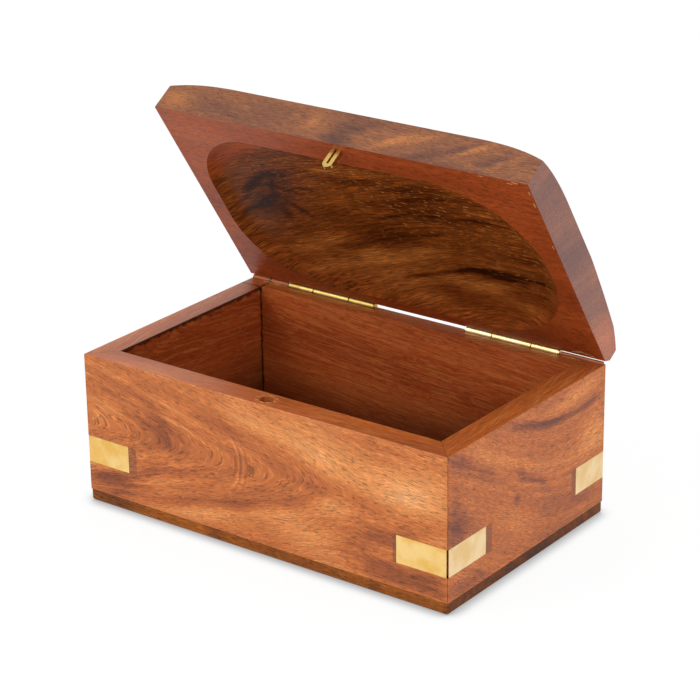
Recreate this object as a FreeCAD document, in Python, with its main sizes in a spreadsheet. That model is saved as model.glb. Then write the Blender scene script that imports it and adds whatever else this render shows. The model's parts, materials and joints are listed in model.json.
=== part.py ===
"""A small hinged wooden box with mitred walls, a thick dished lid and brass plates let into its corners.

Millimetres and degrees. X runs along the front, -Y is the front, +Z is up, and the origin is the centre of
the base board's underside. The lid stands open at rest, by the angle in the sheet.
"""
import FreeCAD, Part
import math
import os
import Sketcher

SIZES = {
    # Box: outside sizes, the four walls and the board under them
    "box_width": 152.0,
    "box_depth": 94.2,
    "wall_height": 50.8,
    "front_wall_thickness": 9.2,
    "side_wall_thickness": 9.0,
    "back_wall_thickness": 7.7,
    "base_thickness": 4.4,
    "mitre_setback": 0.07,
    "corner_ease": 0.35,
    "rim_ease": 0.5,
    "base_corner_radius": 1.5,
    "base_bevel": 0.8,
    "base_seam": 0.2,
    # Brass plates: one on each side of each corner, cut by hand, with filler past the inner end.
    # A length or a width is named for its wall and then the next wall, and a height for its corner.
    "inlay_height": 9.8,
    "inlay_thickness": 1.2,
    "inlay_setback": 0.5,
    "inlay_clearance": 0.05,
    "inlay_length_front_left": 18.1,
    "inlay_length_front_right": 19.5,
    "inlay_length_right_front": 21.1,
    "inlay_length_right_back": 17.5,
    "inlay_length_back_right": 18.0,
    "inlay_length_back_left": 19.0,
    "inlay_length_left_back": 18.5,
    "inlay_length_left_front": 19.5,
    "inlay_bottom_front_left": 15.0,
    "inlay_bottom_front_right": 13.4,
    "inlay_bottom_back_right": 13.4,
    "inlay_bottom_back_left": 14.0,
    "filler_width_front_left": 3.6,
    "filler_width_front_right": 1.4,
    "filler_width_right_front": 3.5,
    "filler_width_right_back": 2.6,
    "filler_width_back_right": 2.2,
    "filler_width_back_left": 3.0,
    "filler_width_left_back": 1.8,
    "filler_width_left_front": 2.8,
    # Hinges: two alike, with leaves on the outside of the back wall and on the lid's rear face
    "hinge_margin": 18.0,
    "hinge_length": 38.0,
    "middle_knuckle_length": 15.7,
    "knuckle_gap": 0.4,
    "leaf_thickness": 0.6,
    "leaf_height": 8.2,
    "leaf_cutback": 0.5,
    "leaf_corner_radius": 0.8,
    "pin_radius": 0.8,
    "pin_clearance": 0.05,
    "pin_head_radius": 1.15,
    "pin_head_height": 0.35,
    "barrel_clearance": 0.3,
    # Screws: two in each leaf
    "screw_spacing": 24.0,
    "screw_drop": 5.4,
    "screw_length": 6.0,
    "screw_head_radius": 1.3,
    "screw_shank_radius": 0.75,
    "screw_clearance": 0.05,
    "screw_slot_width": 0.35,
    "screw_slot_depth": 0.3,
    # Lid: cut from a larger cushion-shaped blank, with its top falling towards the hinges
    "open_angle": 56.7,
    "lid_side_overhang": 0.4,
    "lid_front_setback": 1.2,
    "lid_thickness": 14.1,
    "lid_gap": 0.5,
    "cushion_side_overhang": 36.8,
    "cushion_front_overhang": 40.0,
    "cushion_rear_overhang": 31.2,
    "cushion_corner_radius": 64.8,
    "cushion_roll_radius": 46.1,
    "crown_radius": 514.0,
    "crown_start": 20.8,
    "lid_rear_chamfer": 2.2,
    # Dish in the lid's underside, with one end blunter than the other
    "dish_front_margin": 9.9,
    "dish_back_margin": 6.6,
    "dish_side_margin": 7.2,
    "dish_left_flat": 17.0,
    "dish_right_flat": 4.0,
    "dish_depth": 3.4,
    "dish_wall_angle": 55.0,
    "dish_floor_bevel": 2.2,
    # Catch: a loop of flat brass under the lid, and the hole that it drops into, a little off the middle
    "catch_offset": 0.8,
    "catch_width": 3.9,
    "catch_slot": 0.9,
    "catch_thickness": 1.5,
    "catch_reach": 7.7,
    "catch_root": 3.5,
    "catch_clearance": 0.05,
    "catch_hole_radius": 2.45,
    "catch_hole_depth": 9.5,
}

FULL_TURN = 360.0
QUARTER_TURN = 90.0
TOUCHING = 1e-4
START, END, CENTRE = range(1, 4)
ORIGIN = (-1, START)
LEFT, RIGHT = -1, 1
DOWN, UP = -1, 1


class Size:
    """A size that carries its number and the sheet formula that gives it."""

    def __init__(self, number, formula):
        self.number = number
        self.formula = formula

    def __add__(self, other):
        other = as_size(other)
        return Size(self.number + other.number, f"({self.formula} + {other.formula})")

    def __sub__(self, other):
        other = as_size(other)
        return Size(self.number - other.number, f"({self.formula} - {other.formula})")

    def __mul__(self, factor):
        factor = as_size(factor)
        return Size(self.number * factor.number, f"({self.formula} * {factor.formula})")

    def __truediv__(self, divisor):
        divisor = as_size(divisor)
        return Size(self.number / divisor.number, f"({self.formula} / {divisor.formula})")

    def __neg__(self):
        return self * -1


def as_size(value):
    return value if isinstance(value, Size) else Size(value, repr(value))


NOTHING = as_size(0.0)


class Sheet:
    """The sheet of driving sizes, with one alias for each."""

    def __init__(self, document, sizes):
        sheet = document.addObject("Spreadsheet::Sheet", "sizes")
        for row, (name, number) in enumerate(sizes.items(), start=1):
            sheet.set(f"A{row}", name)
            sheet.set(f"B{row}", str(number))
            sheet.setAlias(f"B{row}", name)
            setattr(self, name, Size(number, f"sizes.{name}"))
        document.recompute()


doc = FreeCAD.newDocument("hinged_box")
dim = Sheet(doc, SIZES)

# Sizes that several pieces share, worked out from the sheet.
# The lid's own frame is the closed lid's, with its origin on the hinge axis.
knuckle_radius = dim.pin_radius + dim.pin_clearance + dim.leaf_thickness
axis_inset = knuckle_radius - dim.leaf_thickness
axis_above_rim = dim.lid_gap / 2
axis_y = dim.box_depth / 2 - axis_inset
axis_z = dim.base_thickness + dim.wall_height + axis_above_rim
cove_radius = knuckle_radius + dim.barrel_clearance
cove_length = dim.hinge_length + (dim.pin_head_height + dim.barrel_clearance) * 2
hinge_offset = dim.box_width / 2 - dim.hinge_margin - dim.hinge_length / 2
pilot_radius = dim.screw_shank_radius + dim.screw_clearance
lid_width = dim.box_width + dim.lid_side_overhang * 2
lid_front = axis_inset - dim.box_depth + dim.lid_front_setback
lid_underside = dim.lid_gap - axis_above_rim
lid_top = lid_underside + dim.lid_thickness
catch_y = axis_inset - dim.box_depth + dim.front_wall_thickness / 2
cos_open = Size(math.cos(math.radians(dim.open_angle.number)), "cos(sizes.open_angle * 1 deg)")
sin_open = Size(math.sin(math.radians(dim.open_angle.number)), "sin(sizes.open_angle * 1 deg)")


def bind(item, path, size):
    """Tie one property of an object to the sheet."""
    item.setExpression(path, size.formula)


def new_body(name):
    body = doc.addObject("PartDesign::Body", name)
    body.Label = name
    return body


def origin_plane(body, role):
    return next(item for item in body.Origin.OriginFeatures if item.Role == role)


def new_sketch(body, plane, name, offset=None):
    """A sketch on one of the body's own origin planes, moved along its normal by the offset."""
    sketch = body.newObject("Sketcher::SketchObject", name)
    sketch.AttachmentSupport = (origin_plane(body, plane), [""])
    sketch.MapMode = "FlatFace"
    if offset is not None:
        bind(sketch, "AttachmentOffset.Base.z", offset)
    return sketch


def constrain(sketch, kind, places, size):
    index = sketch.addConstraint(Sketcher.Constraint(kind, *places, size.number))
    bind(sketch, f"Constraints[{index}]", size)


def fix_x(sketch, point, x):
    constrain(sketch, "DistanceX", (*ORIGIN, *point), x)


def fix_y(sketch, point, y):
    constrain(sketch, "DistanceY", (*ORIGIN, *point), y)


def fix_point(sketch, point, place):
    fix_x(sketch, point, place[0])
    fix_y(sketch, point, place[1])


def join(sketch, first, second):
    sketch.addConstraint(Sketcher.Constraint("Coincident", *first, *second))


def vector(place):
    return FreeCAD.Vector(place[0].number, place[1].number, 0)


def add_line(sketch, begin, finish):
    return sketch.addGeometry(Part.LineSegment(vector(begin), vector(finish)))


def circle_at(centre, radius):
    return Part.Circle(vector(centre), FreeCAD.Vector(0, 0, 1), radius.number)


def add_arc(sketch, centre, radius, start_angle, end_angle):
    """An anticlockwise arc, in radians, whose centre is tied to the sheet."""
    arc = sketch.addGeometry(Part.ArcOfCircle(circle_at(centre, radius), start_angle, end_angle))
    fix_point(sketch, (arc, CENTRE), centre)
    return arc


def add_circle(sketch, centre, radius):
    circle = sketch.addGeometry(circle_at(centre, radius))
    fix_point(sketch, (circle, CENTRE), centre)
    constrain(sketch, "Radius", (circle,), radius)


def add_polygon(sketch, corners):
    """A closed outline of straight lines, each corner tied to the sheet."""
    lines = [add_line(sketch, here, there) for here, there in zip(corners, corners[1:] + corners[:1])]
    for line, following, corner in zip(lines, lines[1:] + lines[:1], corners):
        join(sketch, (line, END), (following, START))
        fix_point(sketch, (line, START), corner)


def add_rectangle(sketch, left, right, bottom, top):
    add_polygon(sketch, [(left, bottom), (right, bottom), (right, top), (left, top)])


def add_rounded_rectangle(sketch, left, right, bottom, top, left_radius, right_radius):
    """A rectangle with quarter-circle corners, anticlockwise from the start of its bottom side."""
    left_in, right_in = left + left_radius, right - right_radius
    left_bottom, left_top = bottom + left_radius, top - left_radius
    right_bottom, right_top = bottom + right_radius, top - right_radius
    sides = [
        ((left_in, bottom), (right_in, bottom)),
        ((right, right_bottom), (right, right_top)),
        ((right_in, top), (left_in, top)),
        ((left, left_top), (left, left_bottom)),
    ]
    corners = [
        ((right_in, right_bottom), right_radius),
        ((right_in, right_top), right_radius),
        ((left_in, left_top), left_radius),
        ((left_in, left_bottom), left_radius),
    ]
    lines = [add_line(sketch, *side) for side in sides]
    for turn, (side, (centre, radius)) in enumerate(zip(sides, corners)):
        arc = add_arc(sketch, centre, radius, (turn - 1) * math.pi / 2, turn * math.pi / 2)
        fix_point(sketch, (lines[turn], START), side[0])
        if turn % 2:
            fix_y(sketch, (arc, START), centre[1])
        else:
            fix_x(sketch, (arc, START), centre[0])
        join(sketch, (lines[turn], END), (arc, START))
        join(sketch, (arc, END), (lines[(turn + 1) % len(lines)], START))


def pad(body, sketch, length, symmetric=False):
    feature = body.newObject("PartDesign::Pad", f"{sketch.Name}_pad")
    feature.Profile = sketch
    bind(feature, "Length", length)
    if symmetric:
        feature.SideType = "Symmetric"
    doc.recompute()
    return feature


def pocket(body, sketch, depth=None, symmetric=False, reverse=False, wall_angle=None):
    """Cut a sketch out of the body, to a depth or right through, and make sure that it cuts something."""
    volume_before = body.Shape.Volume
    feature = body.newObject("PartDesign::Pocket", f"{sketch.Name}_cut")
    feature.Profile = sketch
    feature.Reversed = reverse
    if symmetric:
        feature.SideType = "Symmetric"
    if depth is None:
        feature.Type = "ThroughAll"
    else:
        bind(feature, "Length", depth)
    if wall_angle is not None:
        bind(feature, "TaperAngle", wall_angle)
    doc.recompute()
    if feature.Shape.Volume >= volume_before:
        raise RuntimeError(f"{feature.Name} removes nothing")
    return feature


def revolve(body, sketch, axis):
    feature = body.newObject("PartDesign::Revolution", f"{sketch.Name}_turned")
    feature.Profile = sketch
    feature.ReferenceAxis = (sketch, [axis])
    feature.Angle = FULL_TURN
    doc.recompute()
    return feature


def is_near(number, size):
    return abs(number - size.number) < TOUCHING


def is_upright(chord):
    return is_near(chord.x, NOTHING) and is_near(chord.y, NOTHING)


def edge_names(feature, wanted):
    """Names of the feature's edges whose middle point and chord pass the test."""
    names = []
    for number, edge in enumerate(feature.Shape.Edges, start=1):
        first, last = edge.FirstParameter, edge.LastParameter
        if wanted(edge.valueAt((first + last) / 2), edge.valueAt(last) - edge.valueAt(first)):
            names.append(f"Edge{number}")
    return names


def fillet(body, base, wanted, radius):
    feature = body.newObject("PartDesign::Fillet", f"{base.Name}_round")
    feature.Base = (base, edge_names(base, wanted))
    bind(feature, "Radius", radius)
    doc.recompute()
    return feature


def chamfer(body, base, wanted, size):
    feature = body.newObject("PartDesign::Chamfer", f"{base.Name}_bevel")
    feature.Base = (base, edge_names(base, wanted))
    bind(feature, "Size", size)
    doc.recompute()
    return feature


def place(item, x, y, z):
    for axis, size in (("x", x), ("y", y), ("z", z)):
        bind(item, f"Placement.Base.{axis}", size)


def place_on_box(item, x, y=NOTHING, z=NOTHING):
    """Put a piece at a point given from the hinge axis, on the box."""
    place(item, x, axis_y + y, axis_z + z)


def place_on_lid(item, x, y=NOTHING, z=NOTHING):
    """Put a piece at a point of the lid's own frame, and open it with the lid."""
    item.Placement.Rotation = FreeCAD.Rotation(FreeCAD.Vector(-1, 0, 0), dim.open_angle.number)
    bind(item, "Placement.Rotation.Angle", dim.open_angle)
    place(item, x, axis_y + y * cos_open + z * sin_open, axis_z + z * cos_open - y * sin_open)


class Wall:
    """One side of the box. Its own frame is seen from outside: y goes in from the outer face."""

    def __init__(self, name, length, thickness, left_mitre, right_mitre, face_x, face_y):
        self.name = name
        self.length = length
        self.thickness = thickness
        self.left_mitre = left_mitre
        self.right_mitre = right_mitre
        self.face_x = face_x
        self.face_y = face_y

    def put(self, item):
        """Stand a piece that was drawn in the wall's frame on its side of the box."""
        turn = WALLS.index(self) * QUARTER_TURN
        item.Placement.Rotation = FreeCAD.Rotation(FreeCAD.Vector(0, 0, 1), turn)
        place(item, self.face_x, self.face_y, dim.base_thickness)

    def inlays(self):
        first = WALLS.index(self)
        second = (first + 1) % len(CORNERS)
        return [Inlay(self, LEFT, CORNERS[first]), Inlay(self, RIGHT, CORNERS[second])]


# Walls and corners, each in turn round the box, seen from above
WALLS = [
    Wall("front", dim.box_width, dim.front_wall_thickness, dim.side_wall_thickness, dim.side_wall_thickness,
         NOTHING, -dim.box_depth / 2),
    Wall("right", dim.box_depth, dim.side_wall_thickness, dim.front_wall_thickness, dim.back_wall_thickness,
         dim.box_width / 2, NOTHING),
    Wall("back", dim.box_width, dim.back_wall_thickness, dim.side_wall_thickness, dim.side_wall_thickness,
         NOTHING, dim.box_depth / 2),
    Wall("left", dim.box_depth, dim.side_wall_thickness, dim.back_wall_thickness, dim.front_wall_thickness,
         -dim.box_width / 2, NOTHING),
]
CORNERS = ["front_left", "front_right", "back_right", "back_left"]


class Inlay:
    """The places of the recess, the plate and the filler at one end of a wall, in the wall's frame."""

    def __init__(self, wall, side, corner):
        other_wall = next(name for name in corner.split("_") if name != wall.name)
        self.name = f"{wall.name}_{other_wall}"
        self.side = side
        self.past_corner = wall.length / 2 + dim.inlay_setback
        self.outer_end = wall.length / 2 - dim.inlay_setback
        self.inner_end = self.outer_end - getattr(dim, f"inlay_length_{self.name}")
        self.filler_end = self.inner_end - getattr(dim, f"filler_width_{self.name}")
        self.bottom = getattr(dim, f"inlay_bottom_{corner}") - dim.base_thickness
        self.top = self.bottom + dim.inlay_height

    def outline(self, *corners):
        """Corners given for the right end of a wall, turned over at the left end."""
        return [(x * self.side, y) for x, y in corners]


def mitred_end(side, end, thickness, mitre):
    """The mitre at one end of a wall, from the inner face to the outer, its sharp edge taken off."""
    share = dim.corner_ease / (thickness + mitre)
    return [
        ((end - mitre) * side, thickness),
        ((end - mitre * share) * side, thickness * share),
        ((end - dim.corner_ease) * side, NOTHING),
    ]


def make_wall(wall):
    """A mitred board with eased outer edges and a recess for a brass plate at each end."""
    body = new_body(f"{wall.name}_wall")
    end = wall.length / 2 - dim.mitre_setback
    plan = new_sketch(body, "XY_Plane", f"{wall.name}_plan")
    corners = [
        *mitred_end(LEFT, end, wall.thickness, wall.left_mitre),
        *reversed(mitred_end(RIGHT, end, wall.thickness, wall.right_mitre)),
    ]
    add_polygon(plan, corners)
    board = pad(body, plan, dim.wall_height)
    fillet(body, board, lambda at, along: is_near(at.y, NOTHING) and is_near(at.z, dim.wall_height),
           dim.rim_ease)
    for inlay in wall.inlays():
        recess = new_sketch(body, "XZ_Plane", f"{inlay.name}_recess")
        low, high = inlay.bottom - dim.inlay_clearance, inlay.top + dim.inlay_clearance
        add_polygon(recess, inlay.outline(
            (inlay.filler_end, low),
            (inlay.past_corner, low),
            (inlay.past_corner, high),
            (inlay.filler_end, high),
        ))
        pocket(body, recess, dim.inlay_thickness + dim.inlay_clearance)
    wall.put(body)
    return body


def drill_catch_hole(body, wall):
    """The hole in the front rim that the lid's catch drops into."""
    hole = new_sketch(body, "XY_Plane", "catch_hole", dim.wall_height)
    add_circle(hole, (dim.catch_offset, wall.thickness / 2), dim.catch_hole_radius)
    pocket(body, hole, dim.catch_hole_depth)


def screw_places():
    """Distances of the four screws of one row from the middle of the box."""
    return [hinge_offset * side + dim.screw_spacing / 2 * column
            for side in (LEFT, RIGHT) for column in (LEFT, RIGHT)]


def cut_hinge_seats(body, name, axis, pilot_face, pilot_height, into_face):
    """Coves for the two hinge barrels, and pilot holes for the screws of their leaves."""
    for side in (LEFT, RIGHT):
        cove = new_sketch(body, "YZ_Plane", f"{name}_cove", hinge_offset * side)
        add_circle(cove, axis, cove_radius)
        pocket(body, cove, cove_length, symmetric=True)
    pilots = new_sketch(body, "XZ_Plane", f"{name}_pilots", -pilot_face)
    for x in screw_places():
        add_circle(pilots, (x, pilot_height), pilot_radius)
    pocket(body, pilots, dim.screw_length, reverse=into_face)


def make_walls():
    bodies = {wall.name: make_wall(wall) for wall in WALLS}
    drill_catch_hole(bodies["front"], WALLS[0])
    axis_height = dim.wall_height + axis_above_rim
    cut_hinge_seats(bodies["back"], "rim", (axis_inset, axis_height), NOTHING,
                    axis_height - dim.screw_drop, into_face=False)
    return list(bodies.values())


def make_inlay(wall, inlay):
    """A flat brass plate, mitred where it meets the plate round the corner."""
    body = new_body(f"brass_inlay_{inlay.name}")
    plan = new_sketch(body, "XY_Plane", f"{inlay.name}_plate", inlay.bottom)
    add_polygon(plan, inlay.outline(
        (inlay.inner_end, NOTHING),
        (inlay.outer_end, NOTHING),
        (inlay.outer_end - dim.inlay_thickness, dim.inlay_thickness),
        (inlay.inner_end, dim.inlay_thickness),
    ))
    pad(body, plan, dim.inlay_height)
    wall.put(body)
    return body


def make_filler(wall, inlay):
    """The strip that fills a recess past the plate's inner end."""
    body = new_body(f"{inlay.name}_filler")
    plan = new_sketch(body, "XY_Plane", f"{inlay.name}_strip", inlay.bottom)
    add_polygon(plan, inlay.outline(
        (inlay.filler_end, NOTHING),
        (inlay.inner_end, NOTHING),
        (inlay.inner_end, dim.inlay_thickness),
        (inlay.filler_end, dim.inlay_thickness),
    ))
    pad(body, plan, dim.inlay_height)
    wall.put(body)
    return body


def group(name, bodies):
    """Like pieces that share one name."""
    compound = doc.addObject("Part::Compound", name)
    compound.Label = name
    compound.Links = bodies
    doc.recompute()
    return compound


def make_base():
    """The board under the walls, bevelled below, round at its corners, with a fine bevel along the seam."""
    body = new_body("base_board")
    plan = new_sketch(body, "XY_Plane", "base_plan")
    half_width, half_depth = dim.box_width / 2, dim.box_depth / 2
    add_rectangle(plan, -half_width, half_width, -half_depth, half_depth)
    board = pad(body, plan, dim.base_thickness)
    eased = fillet(body, board, lambda at, along: is_upright(along), dim.base_corner_radius)
    bevelled = chamfer(body, eased, lambda at, along: is_near(at.z, NOTHING), dim.base_bevel)
    chamfer(body, bevelled, lambda at, along: is_near(at.z, dim.base_thickness), dim.base_seam)
    return body


def shape_lid(body):
    """A cushion-shaped blank, trimmed to the lid's outline and underside, its top falling to the rear."""
    half_width = lid_width / 2
    blank_side = half_width + dim.cushion_side_overhang
    blank_front = lid_front - dim.cushion_front_overhang
    blank_rear = axis_inset + dim.cushion_rear_overhang
    blank_height = dim.cushion_roll_radius * 2
    blank = new_sketch(body, "XY_Plane", "lid_blank", lid_top - blank_height)
    add_rounded_rectangle(blank, -blank_side, blank_side, blank_front, blank_rear,
                          dim.cushion_corner_radius, dim.cushion_corner_radius)
    cushion = pad(body, blank, blank_height)
    fillet(body, cushion, lambda at, along: is_near(at.z, lid_top), dim.cushion_roll_radius)

    outline = new_sketch(body, "XY_Plane", "lid_outline")
    add_rectangle(outline, -blank_side * 2, blank_side * 2, blank_front * 2, -blank_front)
    add_rectangle(outline, -half_width, half_width, lid_front, axis_inset)
    pocket(body, outline, symmetric=True)

    underside = new_sketch(body, "XY_Plane", "lid_underside", lid_underside)
    add_rectangle(underside, -blank_side, blank_side, blank_front, blank_rear)
    slab = pocket(body, underside)
    chamfer(body, slab, lambda at, along: is_near(at.y, axis_inset) and is_near(at.z, lid_underside),
            dim.lid_rear_chamfer)
    cut_crown(body, blank_rear)


def cut_crown(body, rear):
    """Take down the lid's top along an arc that leaves the level near the front and falls to the rear."""
    start = lid_front + dim.crown_start
    centre = (start, lid_top - dim.crown_radius)
    above = lid_top + dim.lid_thickness
    profile = new_sketch(body, "YZ_Plane", "lid_crown")
    rear_angle = math.acos((rear - start).number / dim.crown_radius.number)
    rear_point = (rear, centre[1] + dim.crown_radius * math.sin(rear_angle))
    arc = add_arc(profile, centre, dim.crown_radius, rear_angle, math.pi / 2)
    lines = [
        add_line(profile, (start, lid_top), (start, above)),
        add_line(profile, (start, above), (rear, above)),
        add_line(profile, (rear, above), rear_point),
    ]
    constrain(profile, "Radius", (arc,), dim.crown_radius)
    fix_x(profile, (arc, START), rear)
    fix_x(profile, (arc, END), start)
    fix_point(profile, (lines[1], START), (start, above))
    fix_point(profile, (lines[1], END), (rear, above))
    join(profile, (arc, END), (lines[0], START))
    join(profile, (lines[0], END), (lines[1], START))
    join(profile, (lines[1], END), (lines[2], START))
    join(profile, (lines[2], END), (arc, START))
    pocket(body, profile, symmetric=True)


def carve_dish(body):
    """The shallow dish in the lid's underside, with sides that slope twice, less near the floor."""
    side = lid_width / 2 - dim.dish_side_margin
    front, back = lid_front + dim.dish_front_margin, axis_inset - dim.dish_back_margin
    left_radius = (back - front - dim.dish_left_flat) / 2
    right_radius = (back - front - dim.dish_right_flat) / 2
    rim = new_sketch(body, "XY_Plane", "dish_rim", lid_underside)
    add_rounded_rectangle(rim, -side, side, front, back, left_radius, right_radius)
    dish = pocket(body, rim, dim.dish_depth, reverse=True, wall_angle=-dim.dish_wall_angle)
    floor = lid_underside + dim.dish_depth
    chamfer(body, dish, lambda at, along: is_near(at.z, floor), dim.dish_floor_bevel)


def cut_catch_mortises(body):
    """Two slots in the lid's underside for the legs of the catch."""
    inner = dim.catch_slot / 2 - dim.catch_clearance
    outer = dim.catch_width / 2 + dim.catch_clearance
    half_thickness = dim.catch_thickness / 2 + dim.catch_clearance
    front, back = catch_y - half_thickness, catch_y + half_thickness
    slots = new_sketch(body, "XY_Plane", "catch_mortises", lid_underside)
    add_rectangle(slots, dim.catch_offset + inner, dim.catch_offset + outer, front, back)
    add_rectangle(slots, dim.catch_offset - outer, dim.catch_offset - inner, front, back)
    pocket(body, slots, dim.catch_root + dim.catch_clearance, reverse=True)


def make_lid():
    body = new_body("lid")
    shape_lid(body)
    carve_dish(body)
    cut_catch_mortises(body)
    cut_hinge_seats(body, "lid", (NOTHING, NOTHING), axis_inset, dim.screw_drop, into_face=True)
    place_on_lid(body, NOTHING)
    return body


def make_catch():
    """A loop of flat brass whose two legs go up into the lid."""
    body = new_body("lid_catch")
    outer, inner = dim.catch_width / 2, dim.catch_slot / 2
    root = lid_underside + dim.catch_root
    bend = lid_underside - dim.catch_reach + outer
    profile = new_sketch(body, "XZ_Plane", "catch_profile", -catch_y)
    bends = []
    for radius in (outer, inner):
        arc = add_arc(profile, (NOTHING, bend), radius, math.pi, 2 * math.pi)
        constrain(profile, "Radius", (arc,), radius)
        fix_y(profile, (arc, START), bend)
        fix_y(profile, (arc, END), bend)
        bends.append(arc)
    for side, end in ((LEFT, START), (RIGHT, END)):
        outside = add_line(profile, (outer * side, bend), (outer * side, root))
        top = add_line(profile, (outer * side, root), (inner * side, root))
        inside = add_line(profile, (inner * side, root), (inner * side, bend))
        join(profile, (bends[0], end), (outside, START))
        join(profile, (outside, END), (top, START))
        join(profile, (top, END), (inside, START))
        join(profile, (inside, END), (bends[1], end))
        fix_point(profile, (top, START), (outer * side, root))
        fix_point(profile, (top, END), (inner * side, root))
    pad(body, profile, dim.catch_thickness, symmetric=True)
    place_on_lid(body, dim.catch_offset)
    return body


def add_leaf_profile(sketch, way):
    """A flat leaf rolled round the pin, seen from its end. The leaf lies outside the hinge axis."""
    meeting_angle = math.acos(axis_inset.number / knuckle_radius.number)
    meeting_point = (axis_inset, knuckle_radius * math.sin(meeting_angle) * way)
    tip = dim.leaf_height * way
    tangent_point = (knuckle_radius, NOTHING)
    if way == DOWN:
        roll = add_arc(sketch, (NOTHING, NOTHING), knuckle_radius, 0, 2 * math.pi - meeting_angle)
        tangent_end, meeting_end = START, END
    else:
        roll = add_arc(sketch, (NOTHING, NOTHING), knuckle_radius, meeting_angle, 2 * math.pi)
        tangent_end, meeting_end = END, START
    inside = add_line(sketch, meeting_point, (axis_inset, tip))
    edge = add_line(sketch, (axis_inset, tip), (knuckle_radius, tip))
    outside = add_line(sketch, (knuckle_radius, tip), tangent_point)
    fix_point(sketch, (edge, START), (axis_inset, tip))
    fix_point(sketch, (edge, END), (knuckle_radius, tip))
    fix_point(sketch, (outside, END), tangent_point)
    fix_x(sketch, (inside, START), axis_inset)
    join(sketch, (inside, END), (edge, START))
    join(sketch, (edge, END), (outside, START))
    join(sketch, (outside, END), (roll, tangent_end))
    join(sketch, (roll, meeting_end), (inside, START))
    add_circle(sketch, (NOTHING, NOTHING), dim.pin_radius + dim.pin_clearance)


def make_leaf(name, way):
    """One hinge leaf. The leaf on the box, which hangs down, has the two outer knuckles."""
    body = new_body(name)
    profile = new_sketch(body, "YZ_Plane", f"{name}_profile")
    add_leaf_profile(profile, way)
    pad(body, profile, dim.hinge_length, symmetric=True)

    gaps = new_sketch(body, "XZ_Plane", f"{name}_gaps")
    half_middle = dim.middle_knuckle_length / 2
    past_end = dim.hinge_length / 2 + knuckle_radius
    cut_edge = (knuckle_radius + dim.leaf_cutback) * way
    past_barrel = -knuckle_radius * 2 * way
    if way == DOWN:
        reach = half_middle + dim.knuckle_gap
        add_rectangle(gaps, -reach, reach, cut_edge, past_barrel)
    else:
        add_rectangle(gaps, half_middle, past_end, past_barrel, cut_edge)
        add_rectangle(gaps, -past_end, -half_middle, past_barrel, cut_edge)
    pocket(body, gaps, symmetric=True)

    holes = new_sketch(body, "XZ_Plane", f"{name}_holes")
    for column in (LEFT, RIGHT):
        add_circle(holes, (dim.screw_spacing / 2 * column, dim.screw_drop * way), pilot_radius)
    drilled = pocket(body, holes, symmetric=True)
    sunk = chamfer(body, drilled,
                   lambda at, along: is_near(at.y, knuckle_radius) and along.Length < TOUCHING,
                   dim.screw_head_radius - dim.screw_shank_radius)
    tip = dim.leaf_height * way
    fillet(body, sunk, lambda at, along: is_near(at.z, tip) and is_near(along.x, NOTHING),
           dim.leaf_corner_radius)
    return body


def make_pin(name):
    """A plain pin, peened over at both ends."""
    body = new_body(name)
    neck = dim.hinge_length / 2
    tip = neck + dim.pin_head_height
    half_profile = new_sketch(body, "XY_Plane", f"{name}_profile")
    add_polygon(half_profile, [
        (-tip, NOTHING),
        (tip, NOTHING),
        (tip, dim.pin_head_radius),
        (neck, dim.pin_head_radius),
        (neck, dim.pin_radius),
        (-neck, dim.pin_radius),
        (-neck, dim.pin_head_radius),
        (-tip, dim.pin_head_radius),
    ])
    revolve(body, half_profile, "H_Axis")
    return body


def make_hinge(side_name, side):
    """Two leaves and a pin. The box leaf stays with the box and the lid leaf opens with the lid."""
    box_leaf = make_leaf(f"{side_name}_hinge_box_leaf", DOWN)
    lid_leaf = make_leaf(f"{side_name}_hinge_lid_leaf", UP)
    pin = make_pin(f"{side_name}_hinge_pin")
    place_on_box(box_leaf, hinge_offset * side)
    place_on_box(pin, hinge_offset * side)
    place_on_lid(lid_leaf, hinge_offset * side)
    return [box_leaf, lid_leaf, pin]


def make_screw(name):
    """A countersunk screw with a slotted head, which points to -Y from the middle of its head."""
    body = new_body(name)
    neck = dim.screw_shank_radius - dim.screw_head_radius
    half_profile = new_sketch(body, "XY_Plane", f"{name}_profile")
    add_polygon(half_profile, [
        (NOTHING, NOTHING),
        (dim.screw_head_radius, NOTHING),
        (dim.screw_shank_radius, neck),
        (dim.screw_shank_radius, -dim.screw_length),
        (NOTHING, -dim.screw_length),
    ])
    revolve(body, half_profile, "V_Axis")
    slot = new_sketch(body, "XZ_Plane", f"{name}_slot")
    half_width = dim.screw_slot_width / 2
    add_rectangle(slot, -dim.screw_head_radius, dim.screw_head_radius, -half_width, half_width)
    pocket(body, slot, dim.screw_slot_depth, reverse=True)
    return body


def make_screws(name, way, put):
    """The four screws of one row of leaves, their heads flush with the leaves."""
    screws = []
    for number, x in enumerate(screw_places(), start=1):
        screw = make_screw(f"{name}_{number}")
        put(screw, x, knuckle_radius, dim.screw_drop * way)
        screws.append(screw)
    return group(name, screws)


def check(pieces):
    for item in doc.Objects:
        if {"Invalid", "Error"} & set(item.State):
            raise RuntimeError(f"{item.Name} failed: {item.State}")
    for piece in pieces:
        if piece.Shape.isNull() or not piece.Shape.isValid():
            raise RuntimeError(f"{piece.Label} has no sound shape")


def write(pieces):
    os.makedirs("parts", exist_ok=True)
    for piece in pieces:
        piece.Shape.exportStep(f"parts/{piece.Label}.step")


def main():
    seats = [(wall, inlay) for wall in WALLS for inlay in wall.inlays()]
    pieces = make_walls() + [make_base(), make_lid()]
    pieces += [make_inlay(*seat) for seat in seats]
    pieces.append(group("inlay_filler_strips", [make_filler(*seat) for seat in seats]))
    pieces += make_hinge("left", LEFT) + make_hinge("right", RIGHT)
    pieces.append(make_screws("box_leaf_screws", DOWN, place_on_box))
    pieces.append(make_screws("lid_leaf_screws", UP, place_on_lid))
    pieces.append(make_catch())
    doc.recompute()
    check(pieces)
    write(pieces)


main()
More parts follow.
